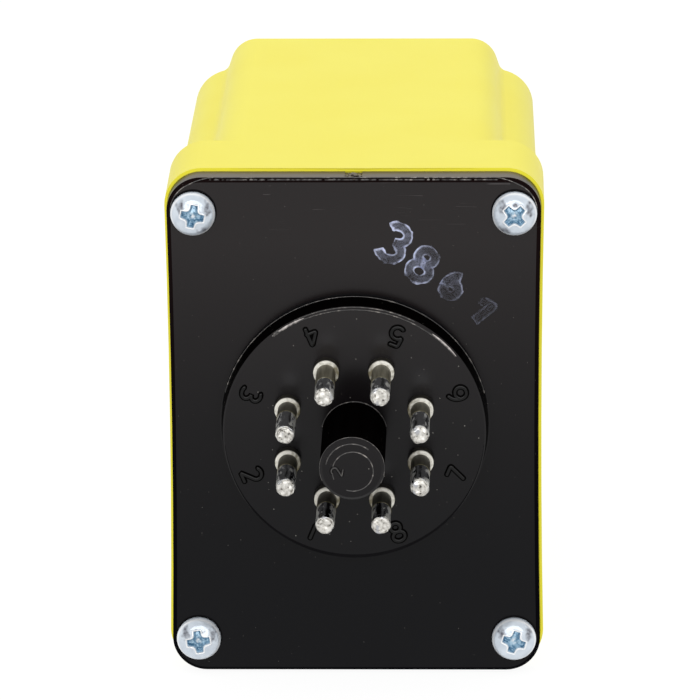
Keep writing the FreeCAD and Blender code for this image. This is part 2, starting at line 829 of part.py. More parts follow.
def make_filter_capacitor(z):
    """Standing can with a rolled groove near its foot."""
    y = front_row_y
    groove = can_groove_height
    can = lathe([V(0, 0, 0), V(can_r, 0, 0), V(can_r, groove - can_groove, 0),
                 V(can_r - can_groove, groove, 0), V(can_r, groove + can_groove, 0),
                 V(can_r, can_height, 0), V(0, can_height, 0)])
    can = stand(can, y, z, 0)
    for up in (-1, 1):
        can = can.fuse(leg(thin_leg, board_face_x + can_groove, y, z + up * can_leg_pitch / 2))
    return can


def make_phase_capacitor():
    """Boxed film capacitor with bevelled edges."""
    y = front_row_y
    z = case_z + film_z
    body = box(board_face_x, board_face_x + film_height, y - film_width / 2, y + film_width / 2,
               z - film_length / 2, z + film_length / 2)
    bevelled = [e for e in body.Edges if e.BoundBox.XMin > board_face_x + film_edge_r]
    body = body.makeChamfer(film_edge_r, bevelled)
    for up in (-1, 1):
        body = body.fuse(leg(thin_leg, board_face_x + film_edge_r, y, z + up * film_leg_pitch / 2))
    return body


def make_surge_varistor(z):
    """Dipped disc on two straight legs."""
    y = rear_row_y
    middle = V(board_face_x + disc_lift + disc_r, y, z)
    disc = rod(disc_r, middle - V(0, 0, disc_thickness / 2), middle + V(0, 0, disc_thickness / 2))
    for side in (-1, 1):
        disc = disc.fuse(leg(thin_leg, middle.x, y + side * disc_leg_pitch / 2, middle.z))
    return disc


def make_phase_resistor(z):
    """Ceramic block resistor that stands on two legs."""
    y = rear_row_y
    low = board_face_x + resistor_lift
    block = box(low, low + resistor_height, y - resistor_length / 2, y + resistor_length / 2,
                z - resistor_width / 2, z + resistor_width / 2)
    block = block.makeChamfer(resistor_bevel, [e for e in block.Edges if e.BoundBox.XMin > low])
    half = resistor_leg_pitch / 2
    for side in (-1, 1):
        block = block.fuse(leg(thin_leg, low + resistor_bevel, y + side * half, z))
    return block


def make_bridge_rectifier():
    """Round moulded rectifier with four legs on a square."""
    y = rear_row_y
    z = case_z + bridge_z
    low = board_face_x + bridge_lift
    body = rod(bridge_r, V(low, y, z), V(low + bridge_height, y, z))
    half = bridge_leg_pitch / 2
    for side, up in ((-1, -1), (-1, 1), (1, -1), (1, 1)):
        body = body.fuse(leg(thin_leg, low + bridge_height / 2, y + side * half, z + up * half))
    return body


def make_main_board():
    """Circuit board on edge, slotted for every leg that passes through it."""
    half = board_half_height()
    board = box(board_back_x, board_face_x, board_start, board_end, case_z - half, case_z + half)
    slots = []
    for y, z, thickness, width in board_slots:
        half_t = thickness / 2 + slide_gap
        half_w = width / 2 + slide_gap
        slots.append(box(board_back_x - wall, board_face_x + wall, y - half_t, y + half_t,
                         z - half_w, z + half_w))
    return board.cut(slots)


nodes = {"housing": make_housing(), "base_plate": make_base_plate(), "cover_screws": make_cover_screws()}
for number in range(1, pin_count + 1):
    nodes[f"pin_{number}"] = make_pin(number)
    nodes[f"lead_{number}"] = make_lead(number)
nodes["transformer_core"] = make_transformer_core()
nodes["transformer_bobbin"] = make_transformer_bobbin()
nodes["transformer_winding"] = make_transformer_winding()
nodes["relay_base"] = make_relay_base()
nodes["relay_yoke"] = make_relay_yoke()
nodes["relay_core"] = make_relay_core()
nodes["relay_bobbin"] = make_relay_bobbin()
nodes["relay_winding"] = make_relay_winding()
nodes["relay_armature"] = make_relay_armature()
nodes["contact_arm"] = make_contact_arm()
nodes["contact_open"] = make_terminal(open_post_y, open_contact_top, 1)
nodes["contact_closed"] = make_terminal(closed_post_y, closed_contact_low, -1)
nodes["return_spring"] = make_return_spring()
nodes["adjuster_body"] = make_adjuster_body()
nodes["adjuster_shaft"] = make_adjuster_shaft()
nodes["adjuster_knob"] = make_adjuster_knob()
nodes["indicator_led"] = make_indicator_led()
nodes["comparator_chip"] = make_comparator_chip()
nodes["phase_capacitor"] = make_phase_capacitor()
for number, inset in enumerate(can_insets, 1):
    nodes[f"filter_capacitor_{number}"] = make_filter_capacitor(ceiling_z - inset)
for number, inset in enumerate(disc_insets, 1):
    nodes[f"surge_varistor_{number}"] = make_surge_varistor(ceiling_z - inset)
for number, inset in enumerate(resistor_insets, 1):
    nodes[f"phase_resistor_{number}"] = make_phase_resistor(floor_z + inset)
nodes["bridge_rectifier"] = make_bridge_rectifier()
nodes["plug_board"] = make_plug_board()
nodes["main_board"] = make_main_board()

os.makedirs("parts", exist_ok=True)
for name, shape in nodes.items():
    shape.exportStep(f"parts/{name}.step")
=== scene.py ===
"""Looks of a plug-in phase monitoring relay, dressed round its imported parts: a yellow moulded case,
a black plug base with a keyed post and eight tinned pins, zinc screws, an adjuster knob and its scale."""

import json
import math

import bmesh
import bpy
import numpy as np
from mathutils import Matrix, Vector


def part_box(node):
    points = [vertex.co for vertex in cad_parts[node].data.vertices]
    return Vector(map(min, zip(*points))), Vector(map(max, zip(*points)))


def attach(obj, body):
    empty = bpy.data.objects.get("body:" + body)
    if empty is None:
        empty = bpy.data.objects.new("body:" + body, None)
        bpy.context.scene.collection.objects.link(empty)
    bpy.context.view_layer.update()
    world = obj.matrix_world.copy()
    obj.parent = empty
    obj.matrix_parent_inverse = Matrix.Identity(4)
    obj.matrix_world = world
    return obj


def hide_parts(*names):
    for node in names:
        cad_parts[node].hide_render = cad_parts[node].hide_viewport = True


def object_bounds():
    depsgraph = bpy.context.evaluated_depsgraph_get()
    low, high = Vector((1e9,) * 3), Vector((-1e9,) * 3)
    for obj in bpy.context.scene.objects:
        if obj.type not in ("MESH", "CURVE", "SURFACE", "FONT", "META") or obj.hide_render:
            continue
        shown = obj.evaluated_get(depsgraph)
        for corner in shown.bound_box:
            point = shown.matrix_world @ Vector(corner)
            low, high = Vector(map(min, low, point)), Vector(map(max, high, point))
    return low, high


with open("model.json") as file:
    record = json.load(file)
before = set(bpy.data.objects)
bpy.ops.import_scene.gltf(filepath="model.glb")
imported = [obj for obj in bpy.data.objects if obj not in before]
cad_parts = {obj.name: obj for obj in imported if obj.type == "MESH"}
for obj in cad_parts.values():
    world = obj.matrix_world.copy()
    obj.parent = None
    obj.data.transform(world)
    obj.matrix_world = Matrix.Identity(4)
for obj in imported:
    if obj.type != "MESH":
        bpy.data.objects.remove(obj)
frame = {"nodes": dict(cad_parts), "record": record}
cad_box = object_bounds()

# Units: sizes are written in millimetres and scaled once, when a mesh or the stage is made
MM = 0.001
TURN = 2.0 * math.pi

# Points of a piece that are closer than this are one, and no length is divided by less than a tiny one
MERGE_GAP = 0.0005
TINY = 1e-12

# Radians that a wave texture of scale 1 runs through in each unit of length
WAVE_RATE = 20.0

# Plug base: its front faces along Y, the boss's radius and that of its front edge, and the plate's top,
# corner radius and chamfer
BOSS_FACE = 0.8
PLATE_FRONT = 4.45
BOSS_RADIUS = 16.3
BOSS_EDGE = 15.8
PLATE_TOP = 31.05
PLATE_CORNER = 3.7
PLATE_CHAMFER = 0.5

# Ways along Y that a face looks
TO_FRONT = -1.0
TO_BACK = 1.0

# Gloss of the black base: lowest and highest over these heights, and where it is dead black
# The gloss rising towards the top is a painted reflection; the dead black is painted shade
RISE_LOW = -27.0
RISE_HIGH = 23.0
PLATE_GLOSS = (0.27, 0.60)
BOSS_GLOSS = (0.32, 0.70)
DEAD_GLOSS = 0.02

# Pins: tip disc, dipped length, sleeve at the foot with its tarnish and painted shade, foot ring and solder
PIN_COUNT = 8
PIN_RADIUS = 1.18
PIN_NECK = 1.15
PIN_TIPS = (0.93, 0.86, 0.9, 0.96, 0.96, 0.84, 0.8, 0.92)
PIN_TIP_CONE = 0.3
PIN_CUTS = (0.26, 0.26, 0.03, 0.03, 0.06, 0.3, 0.0, 0.0, 0.0)
PIN_STEP = 0.12
PIN_SIDES = 48
SLEEVE_ENDS = (-5.0, -4.8, -4.6, -6.2, -6.0, -4.6, -5.0, -5.2)
SLEEVE_STEP = 0.1
# Share of darkening on each pin's sleeve: tarnish and painted shade
TARNISH_AND_SHADE = (0.97, 0.9, 0.9, 0.56, 0.54, 0.78, 0.92, 0.98)
RING_RADIUS = 1.57
RING_FRONT = -0.9
RING_FACE = 0.26
SOLDER_REACH = 0.3
SOLDER_UNEVEN = 0.16
SOLDER_SWELL = 0.045
SOLDER_SINK = 0.02
DIP_SWELL = 0.014

# Screws: domed head with a four-winged recess and its burr, the painted shadow ring round it, and the
# turn of each in degrees, by side and end
HEAD_RADIUS = 2.725
HEAD_HEIGHT = 1.9
HEAD_WALL = 0.30
HEAD_CROWN = 1.9
DOME_RADIUS = 3.95
SHANK_RADIUS = 1.5
HEAD_ROWS = 112
HEAD_SIDES = 144
HEAD_WAVE = 0.006
RECESS_SPAN = 2.95
RECESS_WIDTH = 1.3
RECESS_TAPER = 0.18
RECESS_FILLET = 0.42
RECESS_DEPTH = 0.8
RECESS_WALL = 0.34
BURR_HEIGHT = 0.03
BURR_UNEVEN = 0.02
SHADOW_RING_RADIUS = 2.74
SHADOW_RING_WIDTH = 0.27
SHADOW_RING_PROUD = 0.02
SHADOW_RING_SHIFT = (0.02, 0.12)
SCREW_TURNS = {(-1, 1): -12.0, (1, 1): 45.0, (-1, -1): 8.0, (1, -1): -17.0}

# Dark patches of painted reflection on the plating of each head: place and half sizes, across and up; one
# more on the upper heads, on the side towards the middle of the plate
SCREW_DARK_REFLECTIONS = ((-1.5, 1.05, 0.48, 0.9), (1.8, 0.85, 0.5, 0.95), (0.15, 1.3, 0.55, 0.34))
SCREW_INSIDE_REFLECTION = (1.45, -1.85, 0.75, 0.5)

# Raised pin numbers on the boss
NUMBER_CIRCLE = 13.5
NUMBER_SINK = 0.2
NUMBER_HEIGHT = 2.35
NUMBER_STROKE = 0.7
NUMBER_SQUARE = 0.85
NUMBER_PROUD = 0.26

# Marks of the mould on the end of the post
POST_TIP = -13.3
POST_RADIUS = 3.9
POST_BEVEL = 0.35
POST_MARK_RADIUS = 2.45
POST_MARK_PLACE = (0.1, -0.3)
POST_DIGIT = 2
POST_DIGIT_PLACE = (-1.8, -0.3)
POST_DIGIT_HEIGHT = 1.35
POST_DIGIT_UP = (-1.0, 0.2)

# Fine flash left along the mould's edges: radius of the bead, lowest point on the plate, where it leaves
# the chamfer's outer edge and meets the inner one, half length of the ragged bead at the top
FLASH = 0.065
FLASH_LOWEST = 22.0
FLASH_LEAVES = 17.0
FLASH_MEETS = 20.0
RAGGED_HALF = 17.5

# Flash along round edges: radius, y, first and last angle in degrees, points
FLASH_ARCS = (
    (BOSS_EDGE - 0.2, BOSS_FACE, 38.0, 128.0, 120),
    (BOSS_EDGE + 0.1, BOSS_FACE + 0.1, 62.0, 118.0, 90),
    (BOSS_RADIUS, PLATE_FRONT - 0.35, 14.0, 166.0, 160),
    (POST_RADIUS + FLASH, BOSS_FACE, 10.0, 170.0, 90),
)

# Torn end of the flash on the boss and stretches of paler painted highlight on it: path, angles in degrees,
# widths
TORN_END = ((-9.75, 12.25), (-9.45, 12.65), (-9.05, 13.0))
TORN_WIDTH = 0.34
TORN_PROUD = 0.09
BOSS_HIGHLIGHT_SPANS = ((112.0, 129.0), (38.0, 53.0))
BOSS_HIGHLIGHT_WIDTH = 0.24

# Lines of painted shade round the boss: largest width on the plate, least width and growth on the boss
SHADE_LINE_WIDTH = 0.3
SHADE_LINE_THIN = 0.05
SHADE_LINE_GROWTH = 0.34
SHADE_LINE_PROUD = 0.02

# Ink stamp on the plate: digit, centre x and z, height and how strongly it took
STAMP = (
    (3, 4.83, 23.0, 4.3, 1.0),
    (8, 8.33, 20.24, 3.8, 0.9),
    (6, 11.96, 17.65, 2.9, 0.44),
    (7, 15.41, 14.17, 2.7, 0.2),
)
STAMP_LEAN = -28.0
STAMP_STROKE = 1.3
STAMP_FILM = 0.012
STAMP_THIN = 0.24
STAMP_WAVER = 0.05

# Broken-off gate on the plate's upper edge: centre and half sizes
GATE_PLACE = (0.0, PLATE_FRONT + 1.7, PLATE_TOP - 0.15)
GATE_SIZE = (0.95, 1.15, 0.2)
GATE_UNEVEN = 0.22

# Adjuster scale on the far face, and the paint in the knob's groove
DIAL_TICKS = 11
DIAL_SWEEP = 270.0
DIAL_INNER = 9.5
DIAL_OUTER = 11.2
DIAL_LONGER = 0.8
DIAL_STROKE = 0.45
DIAL_PROUD = 0.06
POINTER_FROM = 0.9
POINTER_TO = 6.2
POINTER_SINK = 0.7
POINTER_WIDTH = 1.0
POINTER_PROUD = 0.3

# Camera, fitted to the pins, the post, the screws and the case's far end in the photograph
CAMERA_AZIMUTH = 1.35
CAMERA_ELEVATION = 17.128
CAMERA_ROLL = -0.393
CAMERA_DISTANCE = 746.085
CAMERA_TARGET = (-0.458, 0.8, 10.54)
CAMERA_SENSOR = 36.0
CAMERA_LENS = 317.29

# Light: levels of the backdrop and the floor, the floor's half width in metres and its gap in
# millimetres; lamps in metres and watts, the front one by its spread in degrees
AMBIENT = 0.99
BOUNCE = 0.95
GLOW = 0.88
FLOOR_WHITE = 1.06
FLOOR_GREY = 0.9
FLOOR_HALF = 6.0
FLOOR_GAP = 0.02
BACK_PLACE = (-0.05, 0.55, 0.66)
BACK_SIZE = 0.9
BACK_WATTS = 0.8
FRONT_DISTANCE = 1.0
FRONT_SPREAD = 30.0
FRONT_WATTS = 8.5


def node_box(name):
    """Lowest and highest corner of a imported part, in millimetres."""
    low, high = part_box(name)
    return np.array(low) / MM, np.array(high) / MM


def node_axis(name):
    """Centre (x, z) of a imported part's box, in millimetres."""
    low, high = node_box(name)
    return np.array([low[0] + high[0], low[2] + high[2]]) / 2.0


def paint(red, green, blue):
    """A display colour of 0 to 255 as linear light: a straight foot, then c to the power of 2.4."""
    share = np.array([red, green, blue]) / 255.0
    light = np.where(share <= 0.04045, share / 12.92, ((share + 0.055) / 1.055) ** 2.4)
    return (*light.tolist(), 1.0)


# Shapes as whole arrays


def smooth(low, high, value):
    """Rises from 0 at low to 1 at high along 3t^2 - 2t^3."""
    t = np.clip((value - low) / (high - low), 0.0, 1.0)
    return t * t * (3.0 - 2.0 * t)


def lumps(points, size, seed, waves=24):
    """Uneven height over points: cosines in random directions with wavelengths round size, spread 1."""
    draw = np.random.default_rng(seed)
    ways = draw.normal(size=(waves, 3))
    ways /= np.linalg.norm(ways, axis=1, keepdims=True)
    pitch = ways * (TURN / size) * draw.uniform(0.6, 1.5, (waves, 1))
    phase = points @ pitch.T + draw.uniform(0.0, TURN, waves)
    return np.cos(phase).sum(axis=-1) * math.sqrt(2.0 / waves)


def rounded(corners, cuts, steps=7):
    """A profile through corners, each rounded by (1-s)^2 A + 2s(1-s) B + s^2 C from cut to cut."""
    corners = np.array(corners, float)
    inner = corners[1:-1]
    back = corners[:-2] - inner
    on = corners[2:] - inner
    cuts = np.array(cuts, float)[:, None]
    start = inner + back / np.linalg.norm(back, axis=1, keepdims=True) * cuts
    end = inner + on / np.linalg.norm(on, axis=1, keepdims=True) * cuts
    s = np.linspace(0.0, 1.0, steps)[None, :, None]
    bends = (1 - s) ** 2 * start[:, None] + 2 * s * (1 - s) * inner[:, None] + s**2 * end[:, None]
    return np.concatenate([corners[:1], bends.reshape(-1, 2), corners[-1:]])


def resampled(path, at):
    """Points of a path at the run lengths that at gives, by straight steps between its own points."""
    run = run_length(path)
    return np.stack([np.interp(at, run, path[:, k]) for k in range(path.shape[1])], axis=-1)


def run_length(path):
    """Length along a path up to each of its points."""
    return np.concatenate([[0.0], np.cumsum(np.linalg.norm(np.diff(path, axis=0), axis=1))])


def closer(path, step, until):
    """A path with further points every step along it, up to a run length, its own points kept."""
    return resampled(path, np.union1d(run_length(path), np.arange(0.0, until, step)))


def turned(profile, sides, centre):
    """A turned surface: each profile point (radius, y) goes round the axis through centre (x, z)."""
    angle = np.linspace(0.0, TURN, sides, endpoint=False)
    x = centre[0] + profile[:, :1] * np.cos(angle)
    z = centre[1] + profile[:, :1] * np.sin(angle)
    return np.stack([x, np.broadcast_to(profile[:, 1:], x.shape), z], axis=-1)


def outward(grid):
    """Unit normals of a turned grid: its steps along crossed with those round it; the pole faces -Y."""
    along = np.gradient(grid, axis=0)
    around = np.roll(grid, -1, axis=1) - np.roll(grid, 1, axis=1)
    normal = np.cross(along, around)
    normal /= np.maximum(np.linalg.norm(normal, axis=-1, keepdims=True), TINY)
    normal[0] = (0.0, -1.0, 0.0)
    return normal


def heading(path, closed):
    """Unit steps along a path, by central differences; a closed path ends on its first point."""
    joined = np.concatenate([path[-2:-1], path, path[1:2]]) if closed else path
    step = np.gradient(joined, axis=0)[1:-1] if closed else np.gradient(joined, axis=0)
    return step / np.maximum(np.linalg.norm(step, axis=1, keepdims=True), TINY)


def bead(path, face_y, facing, width, proud, sides=10, square=1.0, closed=False):
    """A bead along a path (x, z) on the face at face_y. Its section is x = w/2 |cos a|^square and
    y = proud |sin a|^square with their signs: an ellipse at 1 and squarer below it. The width is one
    value or one for each point. An open bead closes like a quarter circle over half a width at each end."""
    step = heading(path, closed)
    run = run_length(path)
    half = np.broadcast_to(width, len(path)) / 2.0
    ends = np.clip(np.minimum(run, run[-1] - run) / half, 0.0, 1.0)
    close = np.ones((len(path), 1)) if closed else np.sqrt(1.0 - (1.0 - ends) ** 2)[:, None]
    angle = np.linspace(0.0, TURN, sides, endpoint=False)
    side = close * np.sign(np.cos(angle)) * np.abs(np.cos(angle)) ** square * half[:, None]
    x = path[:, :1] - step[:, 1:] * side
    z = path[:, 1:] + step[:, :1] * side
    y = face_y + facing * proud * close * np.sign(np.sin(angle)) * np.abs(np.sin(angle)) ** square
    return np.stack([x, y, z], axis=-1)


def circle(centre, radius, count):
    """A closed circle in the (x, z) plane."""
    return arc(centre, (radius, radius), 0.0, 360.0, count)


def arc(centre, radii, start, end, count=24):
    """Points of an ellipse's arc from start to end degrees, counted from the first axis to the second."""
    angle = np.radians(np.linspace(start, end, count))
    return np.stack([centre[0] + radii[0] * np.cos(angle), centre[1] + radii[1] * np.sin(angle)], axis=-1)


def plug_arc(radius, start, end, count):
    """An arc about the plug's axis in the (x, z) plane."""
    return arc((0.0, 0.0), (radius, radius), start, end, count)


# Centre lines of the digits, one unit high, as straight runs and arcs, and the cut round a run's corners
DIGIT_BEND = 0.1
DIGIT_RUNS = {
    1: [[(0.0, -0.5), (0.0, 0.5)]],
    2: [arc((0.0, 0.21), (0.31, 0.29), 165, -35), [(-0.32, -0.5), (0.33, -0.5)]],
    3: [arc((0.0, 0.26), (0.29, 0.24), 155, -85), arc((0.0, -0.24), (0.33, 0.26), 85, -155)],
    4: [[(0.12, -0.6), (0.12, 0.5), (-0.34, -0.16), (0.32, -0.16)]],
    5: [[(0.3, 0.5), (-0.24, 0.5), (-0.28, 0.06)], arc((0.0, -0.18), (0.33, 0.32), 140, -150)],
    6: [arc((0.3, -0.14), (0.61, 0.64), 100, 175), arc((0.0, -0.2), (0.31, 0.3), 180, 540, 40)],
    7: [[(-0.32, 0.5), (0.32, 0.5), (-0.1, -0.5)]],
    8: [arc((0.0, 0.26), (0.26, 0.24), -90, 270, 36), arc((0.0, -0.24), (0.32, 0.26), 90, -270, 36)],
}


def digit_path(digit, centre, up, height, count):
    """A digit's centre line on a face towards -Y, turned so that its own y axis points along up (x, z).
    Runs of three or four points have their corners rounded."""
    runs = [np.array(run) for run in DIGIT_RUNS[digit]]
    bends = [rounded(run, [DIGIT_BEND] * (len(run) - 2)) if len(run) in (3, 4) else run for run in runs]
    line = np.concatenate(bends)
    line = resampled(line, np.linspace(0.0, run_length(line)[-1], count)) * height
    up = np.array(up, float) / np.linalg.norm(up)
    right = np.array([up[1], -up[0]])
    return np.array(centre) + line[:, :1] * right + line[:, 1:] * up


# From arrays to pieces


def quads_of(rows, columns, wrap):
    """Corner numbers of the quads of a grid of points; with wrap the last column meets the first."""
    here = np.arange(rows * columns).reshape(rows, columns)
    beside = np.roll(here, -1, axis=1)
    if not wrap:
        here, beside = here[:, :-1], beside[:, :-1]
    return np.stack([here[:-1], here[1:], beside[1:], beside[:-1]], axis=-1).reshape(-1, 4)


def piece(name, grids, material, body="case", stands_for=(), wrap=True, masks=None):
    """One mesh piece from grids of points: quads of each grid, poles and seams merged, closed shapes
    turned outwards, smooth shaded. Masks are point values laid on the mesh as attributes."""
    starts = np.cumsum([0] + [grid.shape[0] * grid.shape[1] for grid in grids])
    points = np.concatenate([grid.reshape(-1, 3) for grid in grids]) * MM
    quads = [quads_of(*grid.shape[:2], wrap) + start for grid, start in zip(grids, starts)]
    quads = np.concatenate(quads)
    mesh = bpy.data.meshes.new(name)
    mesh.vertices.add(len(points))
    mesh.vertices.foreach_set("co", points.ravel())
    mesh.loops.add(quads.size)
    mesh.loops.foreach_set("vertex_index", quads.ravel())
    mesh.polygons.add(len(quads))
    mesh.polygons.foreach_set("loop_start", np.arange(0, quads.size, 4))
    mesh.update(calc_edges=True)
    for mask, values in (masks or {}).items():
        layer = mesh.attributes.new(mask, "FLOAT", "POINT")
        layer.data.foreach_set("value", np.concatenate([value.ravel() for value in values]))
    shell = bmesh.new()
    shell.from_mesh(mesh)
    bmesh.ops.remove_doubles(shell, verts=shell.verts, dist=MERGE_GAP * MM)
    if wrap:
        bmesh.ops.recalc_face_normals(shell, faces=shell.faces)
    shell.to_mesh(mesh)
    shell.free()
    mesh.polygons.foreach_set("use_smooth", np.ones(len(mesh.polygons), bool))
    mesh.materials.append(material)
    made = bpy.data.objects.new(name, mesh)
    bpy.context.scene.collection.objects.link(made)
    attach(made, body)
    if stands_for:
        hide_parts(*stands_for)


# Shader tools


def add(tree, kind, inputs=None, **settings):
    """A shader node with its settings, and its inputs as values or as links from other sockets."""
    made = tree.nodes.new("ShaderNode" + kind)
    for key, value in settings.items():
        setattr(made, key, value)
    for key, value in (inputs or {}).items():
        if isinstance(value, bpy.types.NodeSocket):
            tree.links.new(value, made.inputs[key])
        else:
            made.inputs[key].default_value = value
    return made


def sums(tree, operation, first, second):
    """The output of a Math node."""
    return add(tree, "Math", {0: first, 1: second}, operation=operation).outputs[0]


def times(tree, first, second):
    """The product of two values."""
    return sums(tree, "MULTIPLY", first, second)


def between(tree, share, first, second):
    """A value between first and second."""
    return add(tree, "Mix", {0: share, 2: first, 3: second}).outputs[0]


def mixed(tree, share, first, second):
    """A colour between first and second."""
    return add(tree, "Mix", {0: share, 6: first, 7: second}, data_type="RGBA").outputs[2]


def remap(tree, value, low, high, to_low=0.0, to_high=1.0):
    """A value carried from low..high to to_low..to_high, held at the ends."""
    inputs = {"Value": value, "From Min": low, "From Max": high, "To Min": to_low, "To Max": to_high}
    return add(tree, "MapRange", inputs).outputs[0]


def object_place(tree):
    """Object coordinates, in metres."""
    return add(tree, "TexCoord").outputs["Object"]


def noise(tree, place, scale, detail):
    """The value of a noise at a place."""
    return add(tree, "TexNoise", {"Vector": place, "Scale": scale, "Detail": detail}).outputs[0]


def new_group(name, inputs, outputs):
    """An empty shader node group with float inputs and outputs by name."""
    tree = bpy.data.node_groups.new(name, "ShaderNodeTree")
    for label, value in inputs.items():
        made = tree.interface.new_socket(label, in_out="INPUT", socket_type="NodeSocketFloat")
        made.default_value = value
    for label in outputs:
        tree.interface.new_socket(label, in_out="OUTPUT", socket_type="NodeSocketFloat")
    return tree, tree.nodes.new("NodeGroupInput"), tree.nodes.new("NodeGroupOutput")


def grain_group():
    """Moulded skin: fine pebbled height and soft large patches, both from noise on object coordinates."""
    scales = {"Grain Scale": 3000.0, "Patch Scale": 120.0}
    tree, given, out = new_group("moulded_grain", scales, ["Height", "Patch"])
    place = object_place(tree)
    fine = noise(tree, place, given.outputs["Grain Scale"], 3.0)
    patch = noise(tree, place, given.outputs["Patch Scale"], 2.0)
    tree.links.new(fine, out.inputs["Height"])
    tree.links.new(remap(tree, patch, 0.3, 0.7), out.inputs["Patch"])
    return tree


def dust_group():
    """Specks of dust: in a share of the cells of a pattern, a dot whose size is drawn for each cell."""
    tree, given, out = new_group("dust", {"Scale": 300.0, "Share": 0.3, "Size": 0.05}, ["Mask", "Tone"])
    place = object_place(tree)
    cells = add(tree, "TexVoronoi", {"Vector": place, "Scale": given.outputs["Scale"]})
    draw = add(tree, "SeparateColor", {0: cells.outputs["Color"]})
    here = sums(tree, "LESS_THAN", draw.outputs[0], given.outputs["Share"])
    size = times(tree, sums(tree, "ADD", draw.outputs[1], 0.25), given.outputs["Size"])
    near = sums(tree, "DIVIDE", cells.outputs["Distance"], size)
    tree.links.new(times(tree, here, remap(tree, near, 0.6, 1.0, 1.0, 0.0)), out.inputs["Mask"])
    tree.links.new(draw.outputs[2], out.inputs["Tone"])
    return tree


def scratch_group():
    """Fine scratches: the crests of noise drawn out long along X, kept where a coarser noise is high."""
    scales = {"Length Scale": 60.0, "Cross Scale": 2500.0, "Share": 0.2}
    tree, given, out = new_group("scratches", scales, ["Mask"])
    place = object_place(tree)
    parts = add(tree, "SeparateXYZ", {0: place})
    x = times(tree, parts.outputs[0], given.outputs["Length Scale"])
    z = times(tree, parts.outputs[2], given.outputs["Cross Scale"])
    drawn = add(tree, "CombineXYZ", {0: x, 1: parts.outputs[1], 2: z}).outputs[0]
    lines = noise(tree, drawn, 1.0, 2.0)
    where = noise(tree, place, 250.0, 1.0)
    crest = remap(tree, lines, 0.62, 0.68)
    limit = sums(tree, "SUBTRACT", 0.75, given.outputs["Share"])
    kept = sums(tree, "GREATER_THAN", where, limit)
    tree.links.new(times(tree, crest, kept), out.inputs["Mask"])
    return tree


GRAIN = grain_group()
DUST = dust_group()
SCRATCHES = scratch_group()


def use(tree, group, inputs):
    """A group placed in a material with its own values."""
    return add(tree, "Group", inputs, node_tree=group).outputs


def new_material(name, **sockets):
    """A material with a Principled shader and the values that are the same all over it."""
    made = bpy.data.materials.new(name)
    made.use_nodes = True
    shader = made.node_tree.nodes["Principled BSDF"]
    for label, value in sockets.items():
        shader.inputs[label.replace("_", " ").title().replace("Ior", "IOR")].default_value = value
    return made, made.node_tree, shader


def feed(shader, label, value):
    """Links a value that changes over the surface to one of the shader's sockets."""
    shader.id_data.links.new(value, shader.inputs[label])


def bump(tree, shader, height, distance):
    """Height as a bump on the shader's normal; distance is in millimetres."""
    made = add(tree, "Bump", {"Height": height, "Distance": distance * MM, "Strength": 1.0})
    feed(shader, "Normal", made.outputs[0])


def attribute(tree, name):
    """A point value of the mesh."""
    return add(tree, "Attribute", attribute_name=name).outputs["Fac"]


def moulded(name, light, dark, rough, **sockets):
    """Moulded plastic: two close tones in soft patches that also move its roughness, a pebbled skin."""
    made, tree, shader = new_material(name, **sockets)
    skin = use(tree, GRAIN, {"Grain Scale": 3000.0, "Patch Scale": 140.0})
    feed(shader, "Base Color", mixed(tree, skin["Patch"], light, dark))
    feed(shader, "Roughness", remap(tree, skin["Patch"], 0.0, 1.0, rough - 0.04, rough + 0.04))
    bump(tree, shader, skin["Height"], 0.004)
    return made


def case_plastic():
    """Yellow case: satin skin with a hint of flow patches and a few dark specks."""
    sheen = {"sheen_weight": 0.1, "sheen_roughness": 0.4}
    made, tree, shader = new_material("case_plastic", specular_ior_level=0.42, **sheen)
    skin = use(tree, GRAIN, {"Grain Scale": 2600.0, "Patch Scale": 90.0})
    specks = use(tree, DUST, {"Scale": 260.0, "Share": 0.10, "Size": 0.035})
    tone = mixed(tree, skin["Patch"], paint(239, 228, 27), paint(238, 226, 23))
    feed(shader, "Base Color", mixed(tree, specks["Mask"], tone, paint(120, 104, 30)))
    feed(shader, "Roughness", remap(tree, skin["Patch"], 0.0, 1.0, 0.42, 0.45))
    bump(tree, shader, skin["Height"], 0.006)
    return made


